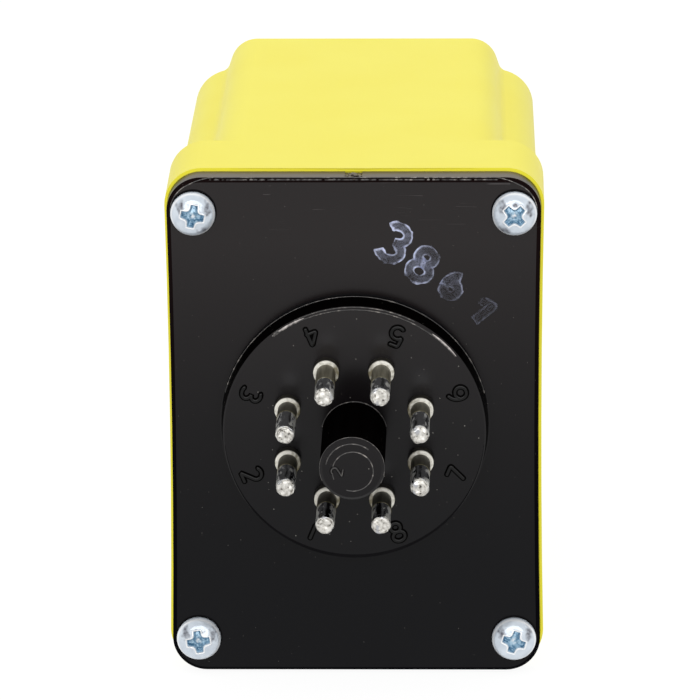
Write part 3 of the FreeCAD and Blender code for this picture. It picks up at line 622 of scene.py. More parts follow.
def base_plastic():
    """Black plug base: a deep black under a gloss that grows towards the top, stronger on the boss and
    the end of the post; this tone and gloss rising towards the top are a painted reflection. The plate's
    chamfer, the post's side and the boss's upper wall are dead black, as painted shade. Pale dust lies
    on it, with fine scratches on the plate's upper side, and that side is painted paler and brownish as
    a painted sheen and warm bounce of light."""
    made, tree, shader = new_material("base_plastic", specular_ior_level=0.0, coat_roughness=0.22)
    skin = use(tree, GRAIN, {"Grain Scale": 1800.0, "Patch Scale": 110.0})
    dust = use(tree, DUST, {"Scale": 1200.0, "Share": 0.5, "Size": 0.085})
    lines = use(tree, SCRATCHES, {"Length Scale": 130.0, "Cross Scale": 4200.0, "Share": 0.2})
    place = add(tree, "SeparateXYZ", {0: object_place(tree)}).outputs
    squares = sums(tree, "ADD", sums(tree, "POWER", place[0], 2.0), sums(tree, "POWER", place[2], 2.0))
    off_axis = add(tree, "Math", {0: squares}, operation="SQRT").outputs[0]
    boss = sums(tree, "LESS_THAN", off_axis, (BOSS_RADIUS + 0.2) * MM)
    upper = remap(tree, place[2], (PLATE_TOP - 7.0) * MM, (PLATE_TOP - 1.0) * MM)
    wear_and_shade = times(tree, lines["Mask"], upper)
    facing = add(tree, "SeparateXYZ", {0: add(tree, "NewGeometry").outputs["True Normal"]}).outputs
    # Painted shade: the boss's upper wall, the post's side and the plate's chamfer lose their gloss, and
    # the wall is painted darker
    wall = times(tree, boss, sums(tree, "GREATER_THAN", facing[1], -0.35))
    rim = times(tree, wall, sums(tree, "GREATER_THAN", off_axis, 0.75 * BOSS_RADIUS * MM))
    flank = times(tree, rim, remap(tree, facing[2], 0.15, 0.6, 1.0, 0.0))
    past_front = sums(tree, "GREATER_THAN", facing[1], -0.85)
    sloping = times(tree, past_front, sums(tree, "LESS_THAN", facing[1], -0.5))
    chamfer = times(tree, sloping, sums(tree, "SUBTRACT", 1.0, boss))
    dead = sums(tree, "MAXIMUM", chamfer, sums(tree, "SUBTRACT", wall, flank))
    # Painted sheen and warm bounce: the plate's upward side painted paler and brownish
    top_sheen_and_bounce = times(tree, upper, remap(tree, facing[2], 0.8, 0.95))
    # Painted reflection: tone and gloss grow paler and stronger towards the top
    rise = sums(tree, "POWER", remap(tree, place[2], RISE_LOW * MM, RISE_HIGH * MM), 2.0)
    face = mixed(tree, rise, paint(7, 7, 11), paint(22, 13, 13))
    black = mixed(tree, top_sheen_and_bounce, mixed(tree, wall, face, paint(3, 2, 2)), paint(87, 77, 63))
    scored = mixed(tree, wear_and_shade, black, paint(72, 68, 68))
    dusty = mixed(tree, dust["Tone"], paint(140, 137, 131), paint(34, 29, 25))
    feed(shader, "Base Color", mixed(tree, dust["Mask"], scored, dusty))
    feed(shader, "Roughness", remap(tree, skin["Patch"], 0.0, 1.0, 0.5, 0.6))
    plate_gloss = remap(tree, rise, 0.0, 1.0, *PLATE_GLOSS)
    boss_gloss = remap(tree, rise, 0.0, 1.0, *BOSS_GLOSS)
    gloss = between(tree, boss, plate_gloss, boss_gloss)
    feed(shader, "Coat Weight", between(tree, dead, gloss, DEAD_GLOSS))
    bump(tree, shader, skin["Height"], 0.003)
    return made


def raised_black():
    """Black plastic of the raised numbers: glossy on top, dead black where their sides slope away, as
    painted shade.
    """
    made, tree, shader = new_material("raised_black", specular_ior_level=0.0, coat_roughness=0.14)
    shader.inputs["Base Color"].default_value = paint(7, 6, 6)
    facing = add(tree, "SeparateXYZ", {0: add(tree, "NewGeometry").outputs["Normal"]}).outputs[1]
    feed(shader, "Coat Weight", remap(tree, facing, -0.985, -0.93, 0.44, DEAD_GLOSS))
    return made


def edge_wear_and_highlight():
    """Black plastic along an edge: a fine pale line with paler flecks, partly wear and partly painted
    highlight, and paler still as painted highlight where the mask is set.
    """
    made, tree, shader = new_material("edge_wear_and_highlight", roughness=0.3)
    place = object_place(tree)
    fleck = noise(tree, place, 1500.0, 4.0)
    where = noise(tree, place, 160.0, 2.0)
    # Paler flecks along the line: partly wear, partly painted highlight
    painted_reflection = times(tree, remap(tree, fleck, 0.50, 0.66), remap(tree, where, 0.4, 0.6, 0.25, 1.0))
    line = mixed(tree, painted_reflection, paint(54, 52, 51), paint(168, 161, 154))
    # Painted highlight: paler still on the stretches that the mask marks
    bare = mixed(tree, remap(tree, fleck, 0.35, 0.65), paint(104, 99, 97), paint(222, 214, 210))
    feed(shader, "Base Color", mixed(tree, attribute(tree, "painted_reflection"), line, bare))
    bump(tree, shader, fleck, 0.02)
    return made


def tinned_pin():
    """Tinned brass: an ivory face on the foot ring, painted darker in places as painted shade, a sleeve
    with its tarnish and painted shade and a paler band of painted highlight along its step, a mirror-like
    dipped part with pale, duller streaks of painted highlight down its sides, and pale rough solder with a
    few pits on the tip."""
    made, tree, shader = new_material("tinned_pin")
    place = object_place(tree)
    drawn = add(tree, "Mapping", {"Vector": place, "Scale": (2600.0, 160.0, 2600.0)}).outputs[0]
    streak = noise(tree, drawn, 1.0, 2.0)
    pits = noise(tree, place, 2400.0, 4.0)
    on_ring, on_sleeve, on_tip = (attribute(tree, name) for name in ("ring", "sleeve", "solder"))
    # Painted highlight: the dipped part's sides turn paler and duller along this mask
    streaky_side_highlight = attribute(tree, "streaky_side_highlight")
    dipped = mixed(tree, streaky_side_highlight, paint(176, 177, 180), paint(172, 171, 166))
    clean = mixed(tree, remap(tree, streak, 0.35, 0.65), paint(188, 182, 160), paint(128, 121, 100))
    # Tarnish and painted shade: the sleeve darkened by each pin's share
    tarnished_and_shaded = mixed(tree, remap(tree, pits, 0.3, 0.7), paint(56, 51, 38), paint(24, 22, 16))
    tarnish_and_shade = mixed(tree, attribute(tree, "tarnish_and_shade"), clean, tarnished_and_shaded)
    # Painted highlight: a paler band along the sleeve's step
    sleeve = mixed(tree, attribute(tree, "lip"), tarnish_and_shade, paint(158, 148, 108))
    # Painted shade: the foot ring's face darker below and towards the post
    ivory = mixed(tree, attribute(tree, "wear_and_shade"), paint(248, 245, 234), paint(124, 116, 88))
    foot = mixed(tree, on_ring, sleeve, ivory)
    metal = mixed(tree, on_sleeve, dipped, foot)
    solder = mixed(tree, remap(tree, pits, 0.35, 0.65), paint(232, 230, 224), paint(166, 162, 154))
    pitted = mixed(tree, remap(tree, pits, 0.60, 0.66, 0.0, 0.9), solder, paint(24, 21, 16))
    feed(shader, "Base Color", mixed(tree, on_tip, metal, pitted))
    dipped_metal = remap(tree, streaky_side_highlight, 0.0, 1.0, 1.0, 0.35)
    foot_metal = remap(tree, on_ring, 0.0, 1.0, 0.6, 0.0)
    shaft_metal = between(tree, on_sleeve, dipped_metal, foot_metal)
    metallic = between(tree, on_tip, shaft_metal, 0.35)
    feed(shader, "Metallic", metallic)
    dipped_rough = remap(tree, streaky_side_highlight, 0.0, 1.0, 0.1, 0.45)
    shaft_rough = between(tree, on_sleeve, dipped_rough, 0.42)
    solder_rough = remap(tree, pits, 0.3, 0.7, 0.30, 0.50)
    rough = between(tree, on_tip, shaft_rough, solder_rough)
    feed(shader, "Roughness", rough)
    bump(tree, shader, between(tree, on_tip, streak, pits), 0.03)
    return made


def zinc_screw():
    """Bright zinc: cool pale plating with a mottled skin and dull grey patches of painted reflection, steel
    blue in the recess, and white painted highlights on its burr, in its middle and along the rim."""
    made, tree, shader = new_material("zinc_screw", metallic=0.16)
    skin = use(tree, GRAIN, {"Grain Scale": 3400.0, "Patch Scale": 900.0})
    mottle = use(tree, GRAIN, {"Grain Scale": 5200.0, "Patch Scale": 2600.0})
    pale = mixed(tree, skin["Patch"], paint(222, 231, 240), paint(205, 215, 226))
    # Painted reflection: dark grey, duller patches where the head mirrors dark surroundings
    painted_reflection = times(tree, attribute(tree, "painted_reflection"), remap(tree, mottle["Patch"], 0.0, 1.0, 0.45, 1.0))
    plated = mixed(tree, painted_reflection, pale, paint(84, 84, 94))
    facet = remap(tree, mottle["Patch"], 0.3, 0.7)
    blue = mixed(tree, facet, paint(176, 208, 228), paint(92, 136, 166))
    tinted = mixed(tree, attribute(tree, "recess"), plated, blue)
    # Painted highlight: white where the mask is set
    feed(shader, "Base Color", mixed(tree, attribute(tree, "painted_highlight"), tinted, paint(255, 255, 255)))
    polish = remap(tree, skin["Patch"], 0.0, 1.0, 0.09, 0.16)
    feed(shader, "Roughness", between(tree, painted_reflection, polish, 0.55))
    bump(tree, shader, skin["Height"], 0.006)
    return made


def stamp_ink():
    """Pale stamp ink: thick at the edges of each stroke, thin and a little broken inside it."""
    made, tree, shader = new_material("stamp_ink", base_color=paint(208, 215, 246), roughness=0.6)
    place = object_place(tree)
    broken = noise(tree, place, 2200.0, 4.0)
    film = times(tree, attribute(tree, "ink"), remap(tree, broken, 0.34, 0.56, 0.4, 1.0))
    feed(shader, "Alpha", film)
    return made


def brushed(name, light, dark, rough):
    """Rolled or plated metal: long streaks that move its tone and roughness."""
    made, tree, shader = new_material(name, metallic=1.0)
    place = object_place(tree)
    drawn = add(tree, "Mapping", {"Vector": place, "Scale": (200.0, 2500.0, 200.0)}).outputs[0]
    streak = noise(tree, drawn, 1.0, 3.0)
    feed(shader, "Base Color", mixed(tree, streak, light, dark))
    feed(shader, "Roughness", remap(tree, streak, 0.2, 0.8, rough - 0.08, rough + 0.08))
    bump(tree, shader, streak, 0.01)
    return made


def layered(name, light, dark, pitch, rough, metal, axis="X"):
    """Stacked sheets or wound wire: even bands across an axis, one band each pitch in millimetres."""
    made, tree, shader = new_material(name, metallic=metal)
    place = object_place(tree)
    inputs = {"Vector": place, "Scale": TURN / (pitch * MM) / WAVE_RATE, "Distortion": 0.4, "Detail": 1.0}
    bands = add(tree, "TexWave", inputs, wave_type="BANDS", bands_direction=axis).outputs["Fac"]
    feed(shader, "Base Color", mixed(tree, bands, dark, light))
    feed(shader, "Roughness", remap(tree, bands, 0.0, 1.0, rough + 0.1, rough))
    bump(tree, shader, bands, 0.04)
    return made


def lamp_resin():
    """Diffused red lamp body: cloudy clear resin that lets light through."""
    made, tree, shader = new_material("lamp_resin", roughness=0.18, ior=1.5, transmission_weight=0.35)
    cloud = use(tree, GRAIN, {"Grain Scale": 1500.0, "Patch Scale": 700.0})
    feed(shader, "Base Color", mixed(tree, cloud["Patch"], paint(196, 22, 16), paint(168, 14, 12)))
    return made


# The finish of each material slot in the record
SLOT_FINISHES = {
    "case_plastic": case_plastic(),
    "base_plastic": base_plastic(),
    "plated_steel": zinc_screw(),
    "tinned_brass": tinned_pin(),
    "copper_wire": brushed("tinned_wire", paint(206, 204, 198), paint(170, 168, 160), 0.3),
    "circuit_board": moulded("board_laminate", paint(150, 112, 58), paint(132, 96, 46), 0.42),
    "lamination_steel": layered("core_laminations", paint(112, 112, 118), paint(52, 52, 56), 0.5, 0.4, 0.8),
    "former_plastic": moulded("coil_former", paint(226, 220, 202), paint(214, 207, 187), 0.45),
    "coil_tape": layered("coil_tape", paint(214, 178, 66), paint(190, 150, 46), 3.0, 0.3, 0.0, "Y"),
    "coil_wire": layered("lacquered_wire", paint(182, 92, 40), paint(110, 46, 18), 0.3, 0.25, 0.9, "Y"),
    "soft_iron": brushed("plated_iron", paint(200, 202, 204), paint(164, 166, 168), 0.32),
    "contact_brass": brushed("rolled_brass", paint(222, 190, 120), paint(194, 158, 88), 0.28),
    "spring_steel": brushed("spring_wire", paint(188, 188, 190), paint(140, 140, 142), 0.26),
    "adjuster_plastic": moulded("adjuster_body", paint(44, 72, 150), paint(36, 60, 130), 0.4),
    "chip_plastic": moulded("chip_body", paint(40, 40, 41), paint(30, 30, 31), 0.5),
    "film_plastic": moulded("film_box", paint(196, 56, 34), paint(176, 44, 26), 0.3),
    "can_aluminium": brushed("can_sleeve", paint(66, 84, 132), paint(48, 62, 104), 0.34),
    "disc_ceramic": moulded("disc_coating", paint(38, 92, 168), paint(30, 76, 146), 0.3),
    "block_ceramic": moulded("resistor_body", paint(214, 208, 190), paint(196, 188, 168), 0.55),
    "lamp_resin": lamp_resin(),
    "knob_plastic": moulded("knob_plastic", paint(34, 33, 34), paint(26, 25, 26), 0.36),
    "shaft_plastic": moulded("shaft_plastic", paint(222, 216, 198), paint(208, 200, 180), 0.4),
}

# Dull black for painted shade: the shadow rings round the screws and the lines round the boss
SHADE_BLACK = moulded("painted_shade_black", paint(17, 16, 18), paint(13, 12, 14), 0.7, specular_ior_level=0.04)


def dress_parts():
    """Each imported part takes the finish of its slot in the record."""
    for part in frame["record"]["subparts"]:
        target = frame["nodes"][part["node"]].data
        target.materials.clear()
        target.materials.append(SLOT_FINISHES[part["material_slot"]])


# The pieces


def plug_pin(number):
    """A turned pin: tip, shaft, foot ring and shank as one profile round its axis. Near the tip its skin
    moves along its normal by lumps of solder, weighted from 1 at the end to 0 behind it, and the dipped
    part by smaller ones. The solder reaches less far on the side towards the post. Down the sides of the
    dipped part run pale, duller streaks of painted highlight, an uneven share of |x| / radius. The ring
    is painted darker on its lower side and towards the post, as painted shade. The sleeve is darkened by
    tarnish and painted shade, and paler along its step as a painted highlight."""
    low, high = node_box(f"pin_{number}")
    tip, tail = low[1], high[1]
    sleeve_end = SLEEVE_ENDS[number - 1]
    corners = [(0.0, tip), (PIN_TIPS[number - 1], tip), (PIN_NECK, tip + PIN_TIP_CONE),
               (PIN_NECK, sleeve_end), (PIN_RADIUS, sleeve_end + SLEEVE_STEP),
               (PIN_RADIUS, RING_FRONT), (RING_RADIUS, RING_FRONT), (RING_RADIUS, BOSS_FACE),
               (PIN_RADIUS, BOSS_FACE), (PIN_RADIUS, tail), (0.0, tail)]
    profile = rounded(corners, PIN_CUTS)
    profile = closer(profile, PIN_STEP, BOSS_FACE - tip + RING_RADIUS)
    centre = node_axis(f"pin_{number}")
    grid = turned(profile, PIN_SIDES, centre)
    depth = grid[..., 1] - tip
    outside = (grid[..., 0] - centre[0]) * np.sign(centre[0]) / PIN_RADIUS
    height = (grid[..., 2] - centre[1]) / PIN_RADIUS
    border = SOLDER_REACH + SOLDER_UNEVEN * lumps(grid, 1.4, 40 + number) + SOLDER_UNEVEN * outside
    solder = 1.0 - smooth(border - 0.12, border + 0.05, depth)
    weight = 1.0 - smooth(0.4, 1.1, depth)
    sleeve = smooth(sleeve_end, sleeve_end + SLEEVE_STEP, grid[..., 1])
    drawn = grid * (1.0, 0.25, 1.0)
    aside = np.abs(grid[..., 0] - centre[0]) / PIN_RADIUS
    # Painted highlight: the dipped part's sides, left and right, marked paler and duller in streaks
    streaky_side_highlight = smooth(0.5, 0.95, aside + 0.22 * lumps(drawn, 0.55, 20 + number))
    swell = SOLDER_SWELL * weight * lumps(grid, 1.1, 60 + number) - SOLDER_SINK * weight
    swell += DIP_SWELL * (1.0 - weight) * (1.0 - sleeve) * lumps(drawn, 0.8, 80 + number)
    grid = grid + outward(grid) * swell[..., None]
    grid[..., 1] = np.maximum(grid[..., 1], tip)
    ring_wall = smooth(RING_FRONT + RING_FACE, RING_FRONT + RING_FACE + 0.12, grid[..., 1])
    ring = smooth(RING_FRONT - 0.08, RING_FRONT - 0.02, grid[..., 1]) * (1.0 - ring_wall)
    # Tarnish and painted shade: each pin's share, and the ring's side towards the boss darkened fully
    tarnish_and_shade = np.maximum(ring_wall, TARNISH_AND_SHADE[number - 1])
    # Painted shade: the foot ring's face darker below and towards the post
    wear_and_shade = np.clip(0.45 - 0.35 * height - 0.3 * outside + 0.22 * lumps(grid, 0.6, 30 + number), 0.0, 1.0)
    # Painted highlight along the sleeve's step
    lip = np.exp(-(((grid[..., 1] - sleeve_end - SLEEVE_STEP) / SLEEVE_STEP) ** 2))
    masks = {"solder": [solder], "sleeve": [sleeve], "ring": [ring], "streaky_side_highlight": [streaky_side_highlight]}
    masks.update({"tarnish_and_shade": [tarnish_and_shade], "wear_and_shade": [wear_and_shade], "lip": [lip]})
    piece(f"plug_pin_{number}", [grid], SLOT_FINISHES["tinned_brass"],
          stands_for=[f"pin_{number}"], masks=masks)


def recess_distance(u, v):
    """Distance to the outline of a four-winged recess, negative inside: two crossed bars that narrow
    outwards, joined by a rounded minimum, which fillets the corners between the wings."""

    def bar(along, across):
        half = RECESS_WIDTH / 2.0 - RECESS_TAPER * np.abs(along) / (RECESS_SPAN / 2.0)
        past_end = np.abs(along) - RECESS_SPAN / 2.0
        past_side = np.abs(across) - half
        outside = np.hypot(np.maximum(past_end, 0.0), np.maximum(past_side, 0.0))
        return outside + np.minimum(np.maximum(past_end, past_side), 0.0)

    first, second = bar(u, v), bar(v, u)
    share = np.clip(0.5 + 0.5 * (second - first) / RECESS_FILLET, 0.0, 1.0)
    return second * (1.0 - share) + first * share - RECESS_FILLET * share * (1.0 - share)


def screw_grid(centre, front, tail, degrees, patches, seed):
    """A pan head, y = front + r^2 / 2D + E (1 - sqrt(1 - t^2)) with t from 0 at the crown's border to 1
    at the rim, with the recess pressed in by its distance and a thin burr round its edge, then the head's
    wall and the shank. Returns the points and three masks: the recess, the painted highlight (on its
    burr, its middle and the rim) and the patches of painted reflection, which are ellipses with soft
    borders."""
    rows = HEAD_RADIUS * np.sin(np.linspace(0.0, math.pi / 2.0, HEAD_ROWS))
    past_crown = np.clip((rows - HEAD_CROWN) / (HEAD_RADIUS - HEAD_CROWN), 0.0, 1.0)
    edge_drop = HEAD_HEIGHT - HEAD_WALL - HEAD_RADIUS**2 / (2.0 * DOME_RADIUS)
    dome = rows**2 / (2.0 * DOME_RADIUS) + edge_drop * (1.0 - np.sqrt(1.0 - past_crown**2))
    below = [(HEAD_RADIUS, PLATE_FRONT), (SHANK_RADIUS, PLATE_FRONT), (SHANK_RADIUS, tail), (0.0, tail)]
    profile = np.concatenate([np.stack([rows, front + dome], axis=-1), np.array(below)])
    grid = turned(profile, HEAD_SIDES, centre)
    across = grid[..., 0] - centre[0]
    up = grid[..., 2] - centre[1]
    out = np.hypot(across, up)
    turn = math.radians(degrees)
    distance = recess_distance(across * math.cos(turn) + up * math.sin(turn),
                               up * math.cos(turn) - across * math.sin(turn))
    crown = (np.arange(len(profile)) < len(rows))[:, None]
    pressed = smooth(0.0, -RECESS_WALL, distance) * RECESS_DEPTH * crown
    burr_height = BURR_HEIGHT + BURR_UNEVEN * lumps(grid, 1.0, seed)
    burr = np.exp(-(((distance - 0.05) / 0.07) ** 2)) * burr_height * crown
    wavy = HEAD_WAVE * lumps(grid, 1.9, seed + 1) * crown
    grid[..., 1] += pressed - np.maximum(burr, 0.0) + np.maximum(wavy, -0.01)
    # Painted highlight: white along the recess's burr, a spot in the middle and a ring near the rim
    uneven = np.clip(0.5 + 0.5 * lumps(grid, 0.5, seed + 2), 0.0, 1.0)
    middle = np.exp(-((out / 0.3) ** 2)) * uneven
    rim = 0.75 * np.exp(-(((out - 0.95 * HEAD_RADIUS) / 0.09) ** 2))
    edge = np.exp(-(((distance - 0.02) / 0.08) ** 2))
    painted_highlight = np.maximum(np.maximum(edge, middle), rim) * crown
    # Painted reflection: soft dark patches where the head mirrors dark surroundings
    spots = [np.hypot((across - x) / wide, (up - z) / high) for x, z, wide, high in patches]
    reach = np.min(spots, axis=0) + 0.2 * lumps(grid, 0.7, seed + 3)
    painted_reflection = (1.0 - smooth(0.35, 1.3, reach)) * crown
    return grid, smooth(0.05, 0.3, pressed), painted_highlight, painted_reflection


def case_screws():
    """The four screws at the corners of the plate, each turned by its own angle."""
    low, high = node_box("cover_screws")
    grids = []
    masks = {"recess": [], "painted_highlight": [], "painted_reflection": []}
    for seed, ((side, end), degrees) in enumerate(SCREW_TURNS.items()):
        x = (high[0] - HEAD_RADIUS) if side > 0 else (low[0] + HEAD_RADIUS)
        z = (high[2] - HEAD_RADIUS) if end > 0 else (low[2] + HEAD_RADIUS)
        across, up, wide, tall = SCREW_INSIDE_REFLECTION
        spots = SCREW_DARK_REFLECTIONS + ((-side * across, up, wide, tall),) if end > 0 else SCREW_DARK_REFLECTIONS
        grid, *values = screw_grid((x, z), low[1], high[1], degrees, spots, 10 * seed)
        grids.append(grid)
        for mask, value in zip(masks.values(), values):
            mask.append(value)
    piece("case_screws", grids, SLOT_FINISHES["plated_steel"],
          stands_for=["cover_screws"], masks=masks)


def screw_shadow_rings():
    """A painted shadow round each screw head: a flat bead of dull black along a circle."""
    low, high = node_box("cover_screws")
    low, high = low + HEAD_RADIUS, high - HEAD_RADIUS
    centres = [(x + SHADOW_RING_SHIFT[0], z + SHADOW_RING_SHIFT[1]) for x in (low[0], high[0]) for z in (low[2], high[2])]
    paths = [circle(centre, SHADOW_RING_RADIUS, 120) for centre in centres]
    rings = [bead(path, PLATE_FRONT, TO_FRONT, SHADOW_RING_WIDTH, SHADOW_RING_PROUD, closed=True) for path in paths]
    piece("screw_shadow_rings", rings, SHADE_BLACK)


def plate_outline():
    """The upper stretch of the plate's front outline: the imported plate's points in the face's plane that
    lie within half a millimetre of a rounded rectangle, in order of their angle."""
    mesh = frame["nodes"]["base_plate"].data
    points = np.empty(len(mesh.vertices) * 3)
    mesh.vertices.foreach_get("co", points)
    points = np.unique(np.round(points.reshape(-1, 3) / MM, 4), axis=0)
    face = points[np.abs(points[:, 1] - PLATE_FRONT) < 0.01][:, [0, 2]]
    low, high = face.min(axis=0), face.max(axis=0)
    middle, half = (low + high) / 2.0, (high - low) / 2.0
    past = np.maximum(np.abs(face - middle) - (half - PLATE_CORNER), 0.0)
    rim = face[np.hypot(past[:, 0], past[:, 1]) > PLATE_CORNER - 0.5]
    rim = rim[rim[:, 1] > FLASH_LOWEST]
    path = rim[np.argsort(np.arctan2(rim[:, 1] - middle[1], rim[:, 0] - middle[0]))]
    return resampled(path, np.linspace(0.0, run_length(path)[-1], 400))


def post_digit():
    """Centre line of the small mould number on the post's end."""
    return digit_path(POST_DIGIT, POST_DIGIT_PLACE, POST_DIGIT_UP, POST_DIGIT_HEIGHT, 60)


def edge_flash():
    """Fine flash along the base's edges, as thin round beads. On the plate's chamfer one runs along the
    outer edge at the top and the inner edge at the corners, and a ragged one between them at the top.
    Others run round the upper side of the boss, with a torn end and two stretches of painted highlight,
    at its foot and the post's foot, round the post's end and on the marks of the mould there. Their pale
    line and flecks are partly wear and partly painted highlight."""
    thin = 2.0 * FLASH
    outline = plate_outline()
    step = heading(outline, False)
    out = PLATE_CHAMFER * (0.95 - 0.9 * smooth(FLASH_LEAVES, FLASH_MEETS, np.abs(outline[:, :1])))
    edge = outline + np.stack([step[:, 1], -step[:, 0]], axis=-1) * out
    ragged = outline[np.abs(outline[:, 0]) < RAGGED_HALF] + (0.0, 0.5 * PLATE_CHAMFER)
    frayed = thin * (1.0 + 0.7 * lumps(ragged[:, [0, 0, 1]], 0.9, 5))
    torn = np.array(TORN_END)
    torn = resampled(torn, np.linspace(0.0, run_length(torn)[-1], 16))
    post_rim = plug_arc(POST_RADIUS - 0.02, -30.0, 205.0, 120)
    post_face = plug_arc(POST_RADIUS - 0.75, 50.0, 170.0, 90)
    post_mark = arc(POST_MARK_PLACE, (POST_MARK_RADIUS, POST_MARK_RADIUS), -110.0, 205.0, 140)
    beads = [
        (edge, PLATE_FRONT + out, thin, FLASH),
        (ragged, PLATE_FRONT + 0.5 * PLATE_CHAMFER, frayed, FLASH),
    ]
    beads += [(plug_arc(radius, *span), y, thin, FLASH) for radius, y, *span in FLASH_ARCS]
    beads += [
        (post_face, POST_TIP, thin, 0.5 * FLASH),
        (post_rim, POST_TIP + POST_BEVEL, 0.6 * thin, 0.6 * FLASH),
        (post_digit(), POST_TIP, 0.17, 0.13),
        (post_mark, POST_TIP, thin, 0.5 * FLASH),
        (torn, BOSS_FACE, TORN_WIDTH, TORN_PROUD),
    ]
    rings = [bead(path, y, TO_FRONT, width, proud) for path, y, width, proud in beads]
    # Stretches of painted highlight along the boss's edge
    stretches = [plug_arc(BOSS_EDGE - 0.05, *span, 50) for span in BOSS_HIGHLIGHT_SPANS]
    taper = BOSS_HIGHLIGHT_WIDTH * np.sqrt(np.sin(np.linspace(0.05, math.pi - 0.05, 50)))
    streaks = [bead(stretch, BOSS_FACE, TO_FRONT, taper, FLASH) for stretch in stretches]
    plain = [np.zeros(ring.shape[:2]) for ring in rings]
    painted_reflection = [np.ones(streak.shape[:2]) for streak in streaks]
    piece("edge_flash", rings + streaks, edge_wear_and_highlight(), masks={"painted_reflection": plain + painted_reflection})


def boss_shade_lines():
    """Lines of painted shade round the boss, in dull black: a flat crescent on its lower front edge,
    whose width grows downwards with the square of z / radius, and one on the plate along its upper
    foot, whose width grows upwards with z / radius."""
    lower = plug_arc(1.0, 185.0, 355.0, 160)
    upper = plug_arc(1.0, 8.0, 172.0, 160)
    lower_width = SHADE_LINE_THIN + SHADE_LINE_GROWTH * lower[:, 1] ** 2
    upper_width = SHADE_LINE_WIDTH * upper[:, 1]
    foot = BOSS_RADIUS + upper_width[:, None] / 2.0
    lines = [
        bead(lower * BOSS_EDGE, BOSS_FACE, TO_FRONT, lower_width, SHADE_LINE_PROUD),
        bead(upper * foot, PLATE_FRONT, TO_FRONT, upper_width, SHADE_LINE_PROUD),
    ]
    piece("boss_shade_lines", lines, SHADE_BLACK)


def pin_numbers():
    """Raised numbers 1 to 8 on the boss, each outside its pin with its top towards the post, and a small
    mould number on the post's end."""
    grids = []
    for number in range(1, PIN_COUNT + 1):
        out = node_axis(f"pin_{number}")
        out /= np.linalg.norm(out)
        path = digit_path(number, out * NUMBER_CIRCLE - (0.0, NUMBER_SINK), -out, NUMBER_HEIGHT, 72)
        grids.append(bead(path, BOSS_FACE, TO_FRONT, NUMBER_STROKE, NUMBER_PROUD, 24, NUMBER_SQUARE))
    grids.append(bead(post_digit(), POST_TIP, TO_FRONT, 0.4, 0.07, 12, 0.6))
    piece("pin_numbers", grids, raised_black())


def ink_stamp():
    """A faded number stamp: a ribbon along each digit's centre line, on the plate. The ink is a thin film
    inside and full along the digit's border, where the distance to its whole centre line nears half the
    stroke and the stamp pressed it out; uneven pressure moves both."""
    lean = math.radians(STAMP_LEAN)
    across = np.linspace(-1.0, 1.0, 21)
    inside = 1.0 - smooth(0.94, 1.0, np.abs(across))
    grids, films = [], []
    for digit, x, z, height, strength in STAMP:
        path = digit_path(digit, (x, z), (-math.sin(lean), math.cos(lean)), height, 110)
        run = run_length(path)
        step = heading(path, False)
        offset = across * STAMP_STROKE / 2.0
        film_y = np.full((len(path), len(across)), PLATE_FRONT - STAMP_FILM)
        film_x = path[:, :1] + step[:, 1:] * offset
        film_z = path[:, 1:] - step[:, :1] * offset
        ribbon = np.stack([film_x, film_y, film_z], axis=-1)
        ribbon[..., ::2] += STAMP_WAVER * lumps(ribbon, 0.9, digit)[..., None]
        reach = np.linalg.norm(ribbon[:, :, None, ::2] - path, axis=-1).min(axis=-1) / (STAMP_STROKE / 2.0)
        side = smooth(0.5, 0.82, reach) * inside
        end = (1.0 - smooth(0.14, 0.36, np.minimum(run, run[-1] - run)))[:, None] * inside
        pressure = np.clip(0.8 + 0.3 * lumps(ribbon, 3.0, 9 + digit), 0.2, 1.2)
        grids.append(ribbon)
        film = STAMP_THIN * inside + (1.0 - STAMP_THIN) * np.maximum(side, end)
        films.append(np.clip(film * strength * pressure, 0.0, 1.0))
    piece("ink_stamp", grids, stamp_ink(), wrap=False, masks={"ink": films})


def gate_scar():
    """The broken-off gate on the plate's upper edge: a low mound, an ellipsoid with uneven lumps."""
    row = np.linspace(0.0, math.pi, 40)[:, None]
    turn = np.linspace(0.0, TURN, 60, endpoint=False)[None, :]
    level = np.sin(row)
    ball = np.stack([level * np.cos(turn), level * np.sin(turn), np.cos(row) + 0.0 * turn], axis=-1)
    ball *= (1.0 + GATE_UNEVEN * lumps(ball, 0.8, 5))[..., None]
    mound = np.array(GATE_PLACE) + ball * GATE_SIZE
    piece("gate_scar", [mound], SLOT_FINISHES["base_plastic"])


def adjuster_scale():
    """Printed ticks round the knob on the far face, even over its sweep, longer at ends and middle."""
    centre = node_axis("adjuster_knob")
    far = node_box("housing")[1][1]
    grids = []
    for tick, degrees in enumerate(np.linspace(-DIAL_SWEEP / 2.0, DIAL_SWEEP / 2.0, DIAL_TICKS)):
        out = np.array([math.sin(math.radians(degrees)), math.cos(math.radians(degrees))])
        reach = DIAL_OUTER + (DIAL_LONGER if tick % 5 == 0 else 0.0)
        path = centre + out * np.linspace(DIAL_INNER, reach, 14)[:, None]
        grids.append(bead(path, far, TO_BACK, DIAL_STROKE, DIAL_PROUD))
    piece("adjuster_scale", grids, SLOT_FINISHES["knob_plastic"])


def knob_pointer():
    """White paint line in the knob's pointer groove: a flat bead along the groove's floor."""
    groove = node_box("adjuster_knob")[1][1] - POINTER_SINK
    up = np.array([0.0, 1.0])
    path = node_axis("adjuster_knob") + up * np.linspace(POINTER_FROM, POINTER_TO, 30)[:, None]
    line = bead(path, groove, TO_BACK, POINTER_WIDTH, POINTER_PROUD)
    white = moulded("pointer_paint", paint(236, 235, 230), paint(224, 222, 214), 0.5)
    piece("knob_pointer", [line], white, body="adjuster")


# Stage


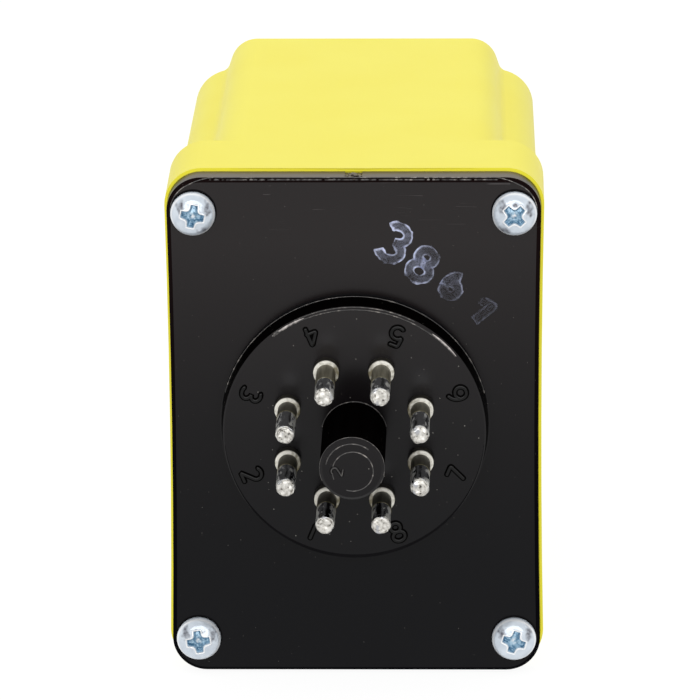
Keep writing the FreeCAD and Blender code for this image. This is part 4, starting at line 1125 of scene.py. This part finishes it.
def camera_direction():
    """Unit vector from the part to the camera."""
    azimuth, elevation = np.radians([CAMERA_AZIMUTH, CAMERA_ELEVATION])
    level = math.cos(elevation)
    return Vector((math.sin(azimuth) * level, -math.cos(azimuth) * level, math.sin(elevation)))


def camera():
    """A long lens at the photograph's angle, turned a little about its own axis."""
    azimuth, roll = np.radians([CAMERA_AZIMUTH, CAMERA_ROLL])
    back = camera_direction()
    level = Vector((math.cos(azimuth), math.sin(azimuth), 0.0))
    upright = back.cross(level)
    right = level * math.cos(roll) + upright * math.sin(roll)
    up = upright * math.cos(roll) - level * math.sin(roll)
    lens = bpy.data.cameras.new("camera")
    lens.lens = CAMERA_LENS
    lens.sensor_width = CAMERA_SENSOR
    made = bpy.data.objects.new("camera", lens)
    turn = Matrix((right, up, back)).transposed().to_4x4()
    made.matrix_world = Matrix.Translation((Vector(CAMERA_TARGET) + back * CAMERA_DISTANCE) * MM) @ turn
    bpy.context.scene.collection.objects.link(made)
    bpy.context.scene.camera = made


def looked_at(tree):
    """1 for the rays that show the background: from the camera, mirrored and through clear parts."""
    path = add(tree, "LightPath").outputs
    mirrored_or_through = sums(tree, "MAXIMUM", path["Is Glossy Ray"], path["Is Transmission Ray"])
    return sums(tree, "MAXIMUM", path["Is Camera Ray"], mirrored_or_through)


def backdrop():
    """White all round where it is looked at and in reflections, and a plain level as light."""
    world = bpy.data.worlds.new("studio")
    world.use_nodes = True
    tree = world.node_tree
    level = between(tree, looked_at(tree), AMBIENT, 1.0)
    tree.links.new(level, tree.nodes["Background"].inputs["Strength"])
    tree.nodes["Background"].inputs["Color"].default_value = (1.0, 1.0, 1.0, 1.0)
    bpy.context.scene.world = world


def floor():
    """White floor a hair under the lowest point of the part. Where it is looked at and in reflections it
    glows to the white of the backdrop and keeps a part of its shadow. Its bounced light is even."""
    made = bpy.data.materials.new("floor_white")
    made.use_nodes = True
    tree = made.node_tree
    tree.nodes.remove(tree.nodes["Principled BSDF"])
    lit = add(tree, "BsdfDiffuse", {"Color": (FLOOR_GREY, FLOOR_GREY, FLOOR_GREY, 1.0)}).outputs[0]
    white = add(tree, "Emission", {"Strength": FLOOR_WHITE}).outputs[0]
    glow = times(tree, looked_at(tree), GLOW)
    shown = add(tree, "MixShader", {0: glow, 1: lit, 2: white}).outputs[0]
    bounce = add(tree, "Emission", {"Strength": BOUNCE}).outputs[0]
    diffuse = add(tree, "LightPath").outputs["Is Diffuse Ray"]
    surface = add(tree, "MixShader", {0: diffuse, 1: shown, 2: bounce}).outputs[0]
    tree.links.new(surface, tree.nodes["Material Output"].inputs["Surface"])
    rest = cad_box[0][2] - FLOOR_GAP * MM
    signs = [(-1, -1), (1, -1), (1, 1), (-1, 1)]
    corners = [(x * FLOOR_HALF, y * FLOOR_HALF, rest) for x, y in signs]
    plane = bpy.data.meshes.new("floor")
    plane.from_pydata(corners, [], [(0, 1, 2, 3)])
    plane.materials.append(made)
    sheet = bpy.data.objects.new("floor", plane)
    bpy.context.scene.collection.objects.link(sheet)


def lamp(name, place, size, watts):
    """A wide round light that faces the part."""
    light = bpy.data.lights.new(name, "AREA")
    light.shape = "DISK"
    light.size = size
    light.energy = watts
    made = bpy.data.objects.new(name, light)
    made.location = place
    made.rotation_euler = (-Vector(place)).to_track_quat("-Z", "Y").to_euler()
    bpy.context.scene.collection.objects.link(made)
    return made


def lamps():
    """A light behind and above the part, whose shadow falls on the floor in front of the plate, and one
    on the camera's side that only mirroring surfaces show: it is the glint on the screws."""
    lamp("light_behind", BACK_PLACE, BACK_SIZE, BACK_WATTS)
    width = 2.0 * FRONT_DISTANCE * math.tan(math.radians(FRONT_SPREAD))
    front = lamp("light_front", camera_direction() * FRONT_DISTANCE, width, FRONT_WATTS)
    front.visible_diffuse = False


bpy.context.scene.view_settings.view_transform = "Standard"
dress_parts()
for pin_number in range(1, PIN_COUNT + 1):
    plug_pin(pin_number)
case_screws()
screw_shadow_rings()
edge_flash()
boss_shade_lines()
pin_numbers()
ink_stamp()
gate_scar()
adjuster_scale()
knob_pointer()
camera()
backdrop()
floor()
lamps()
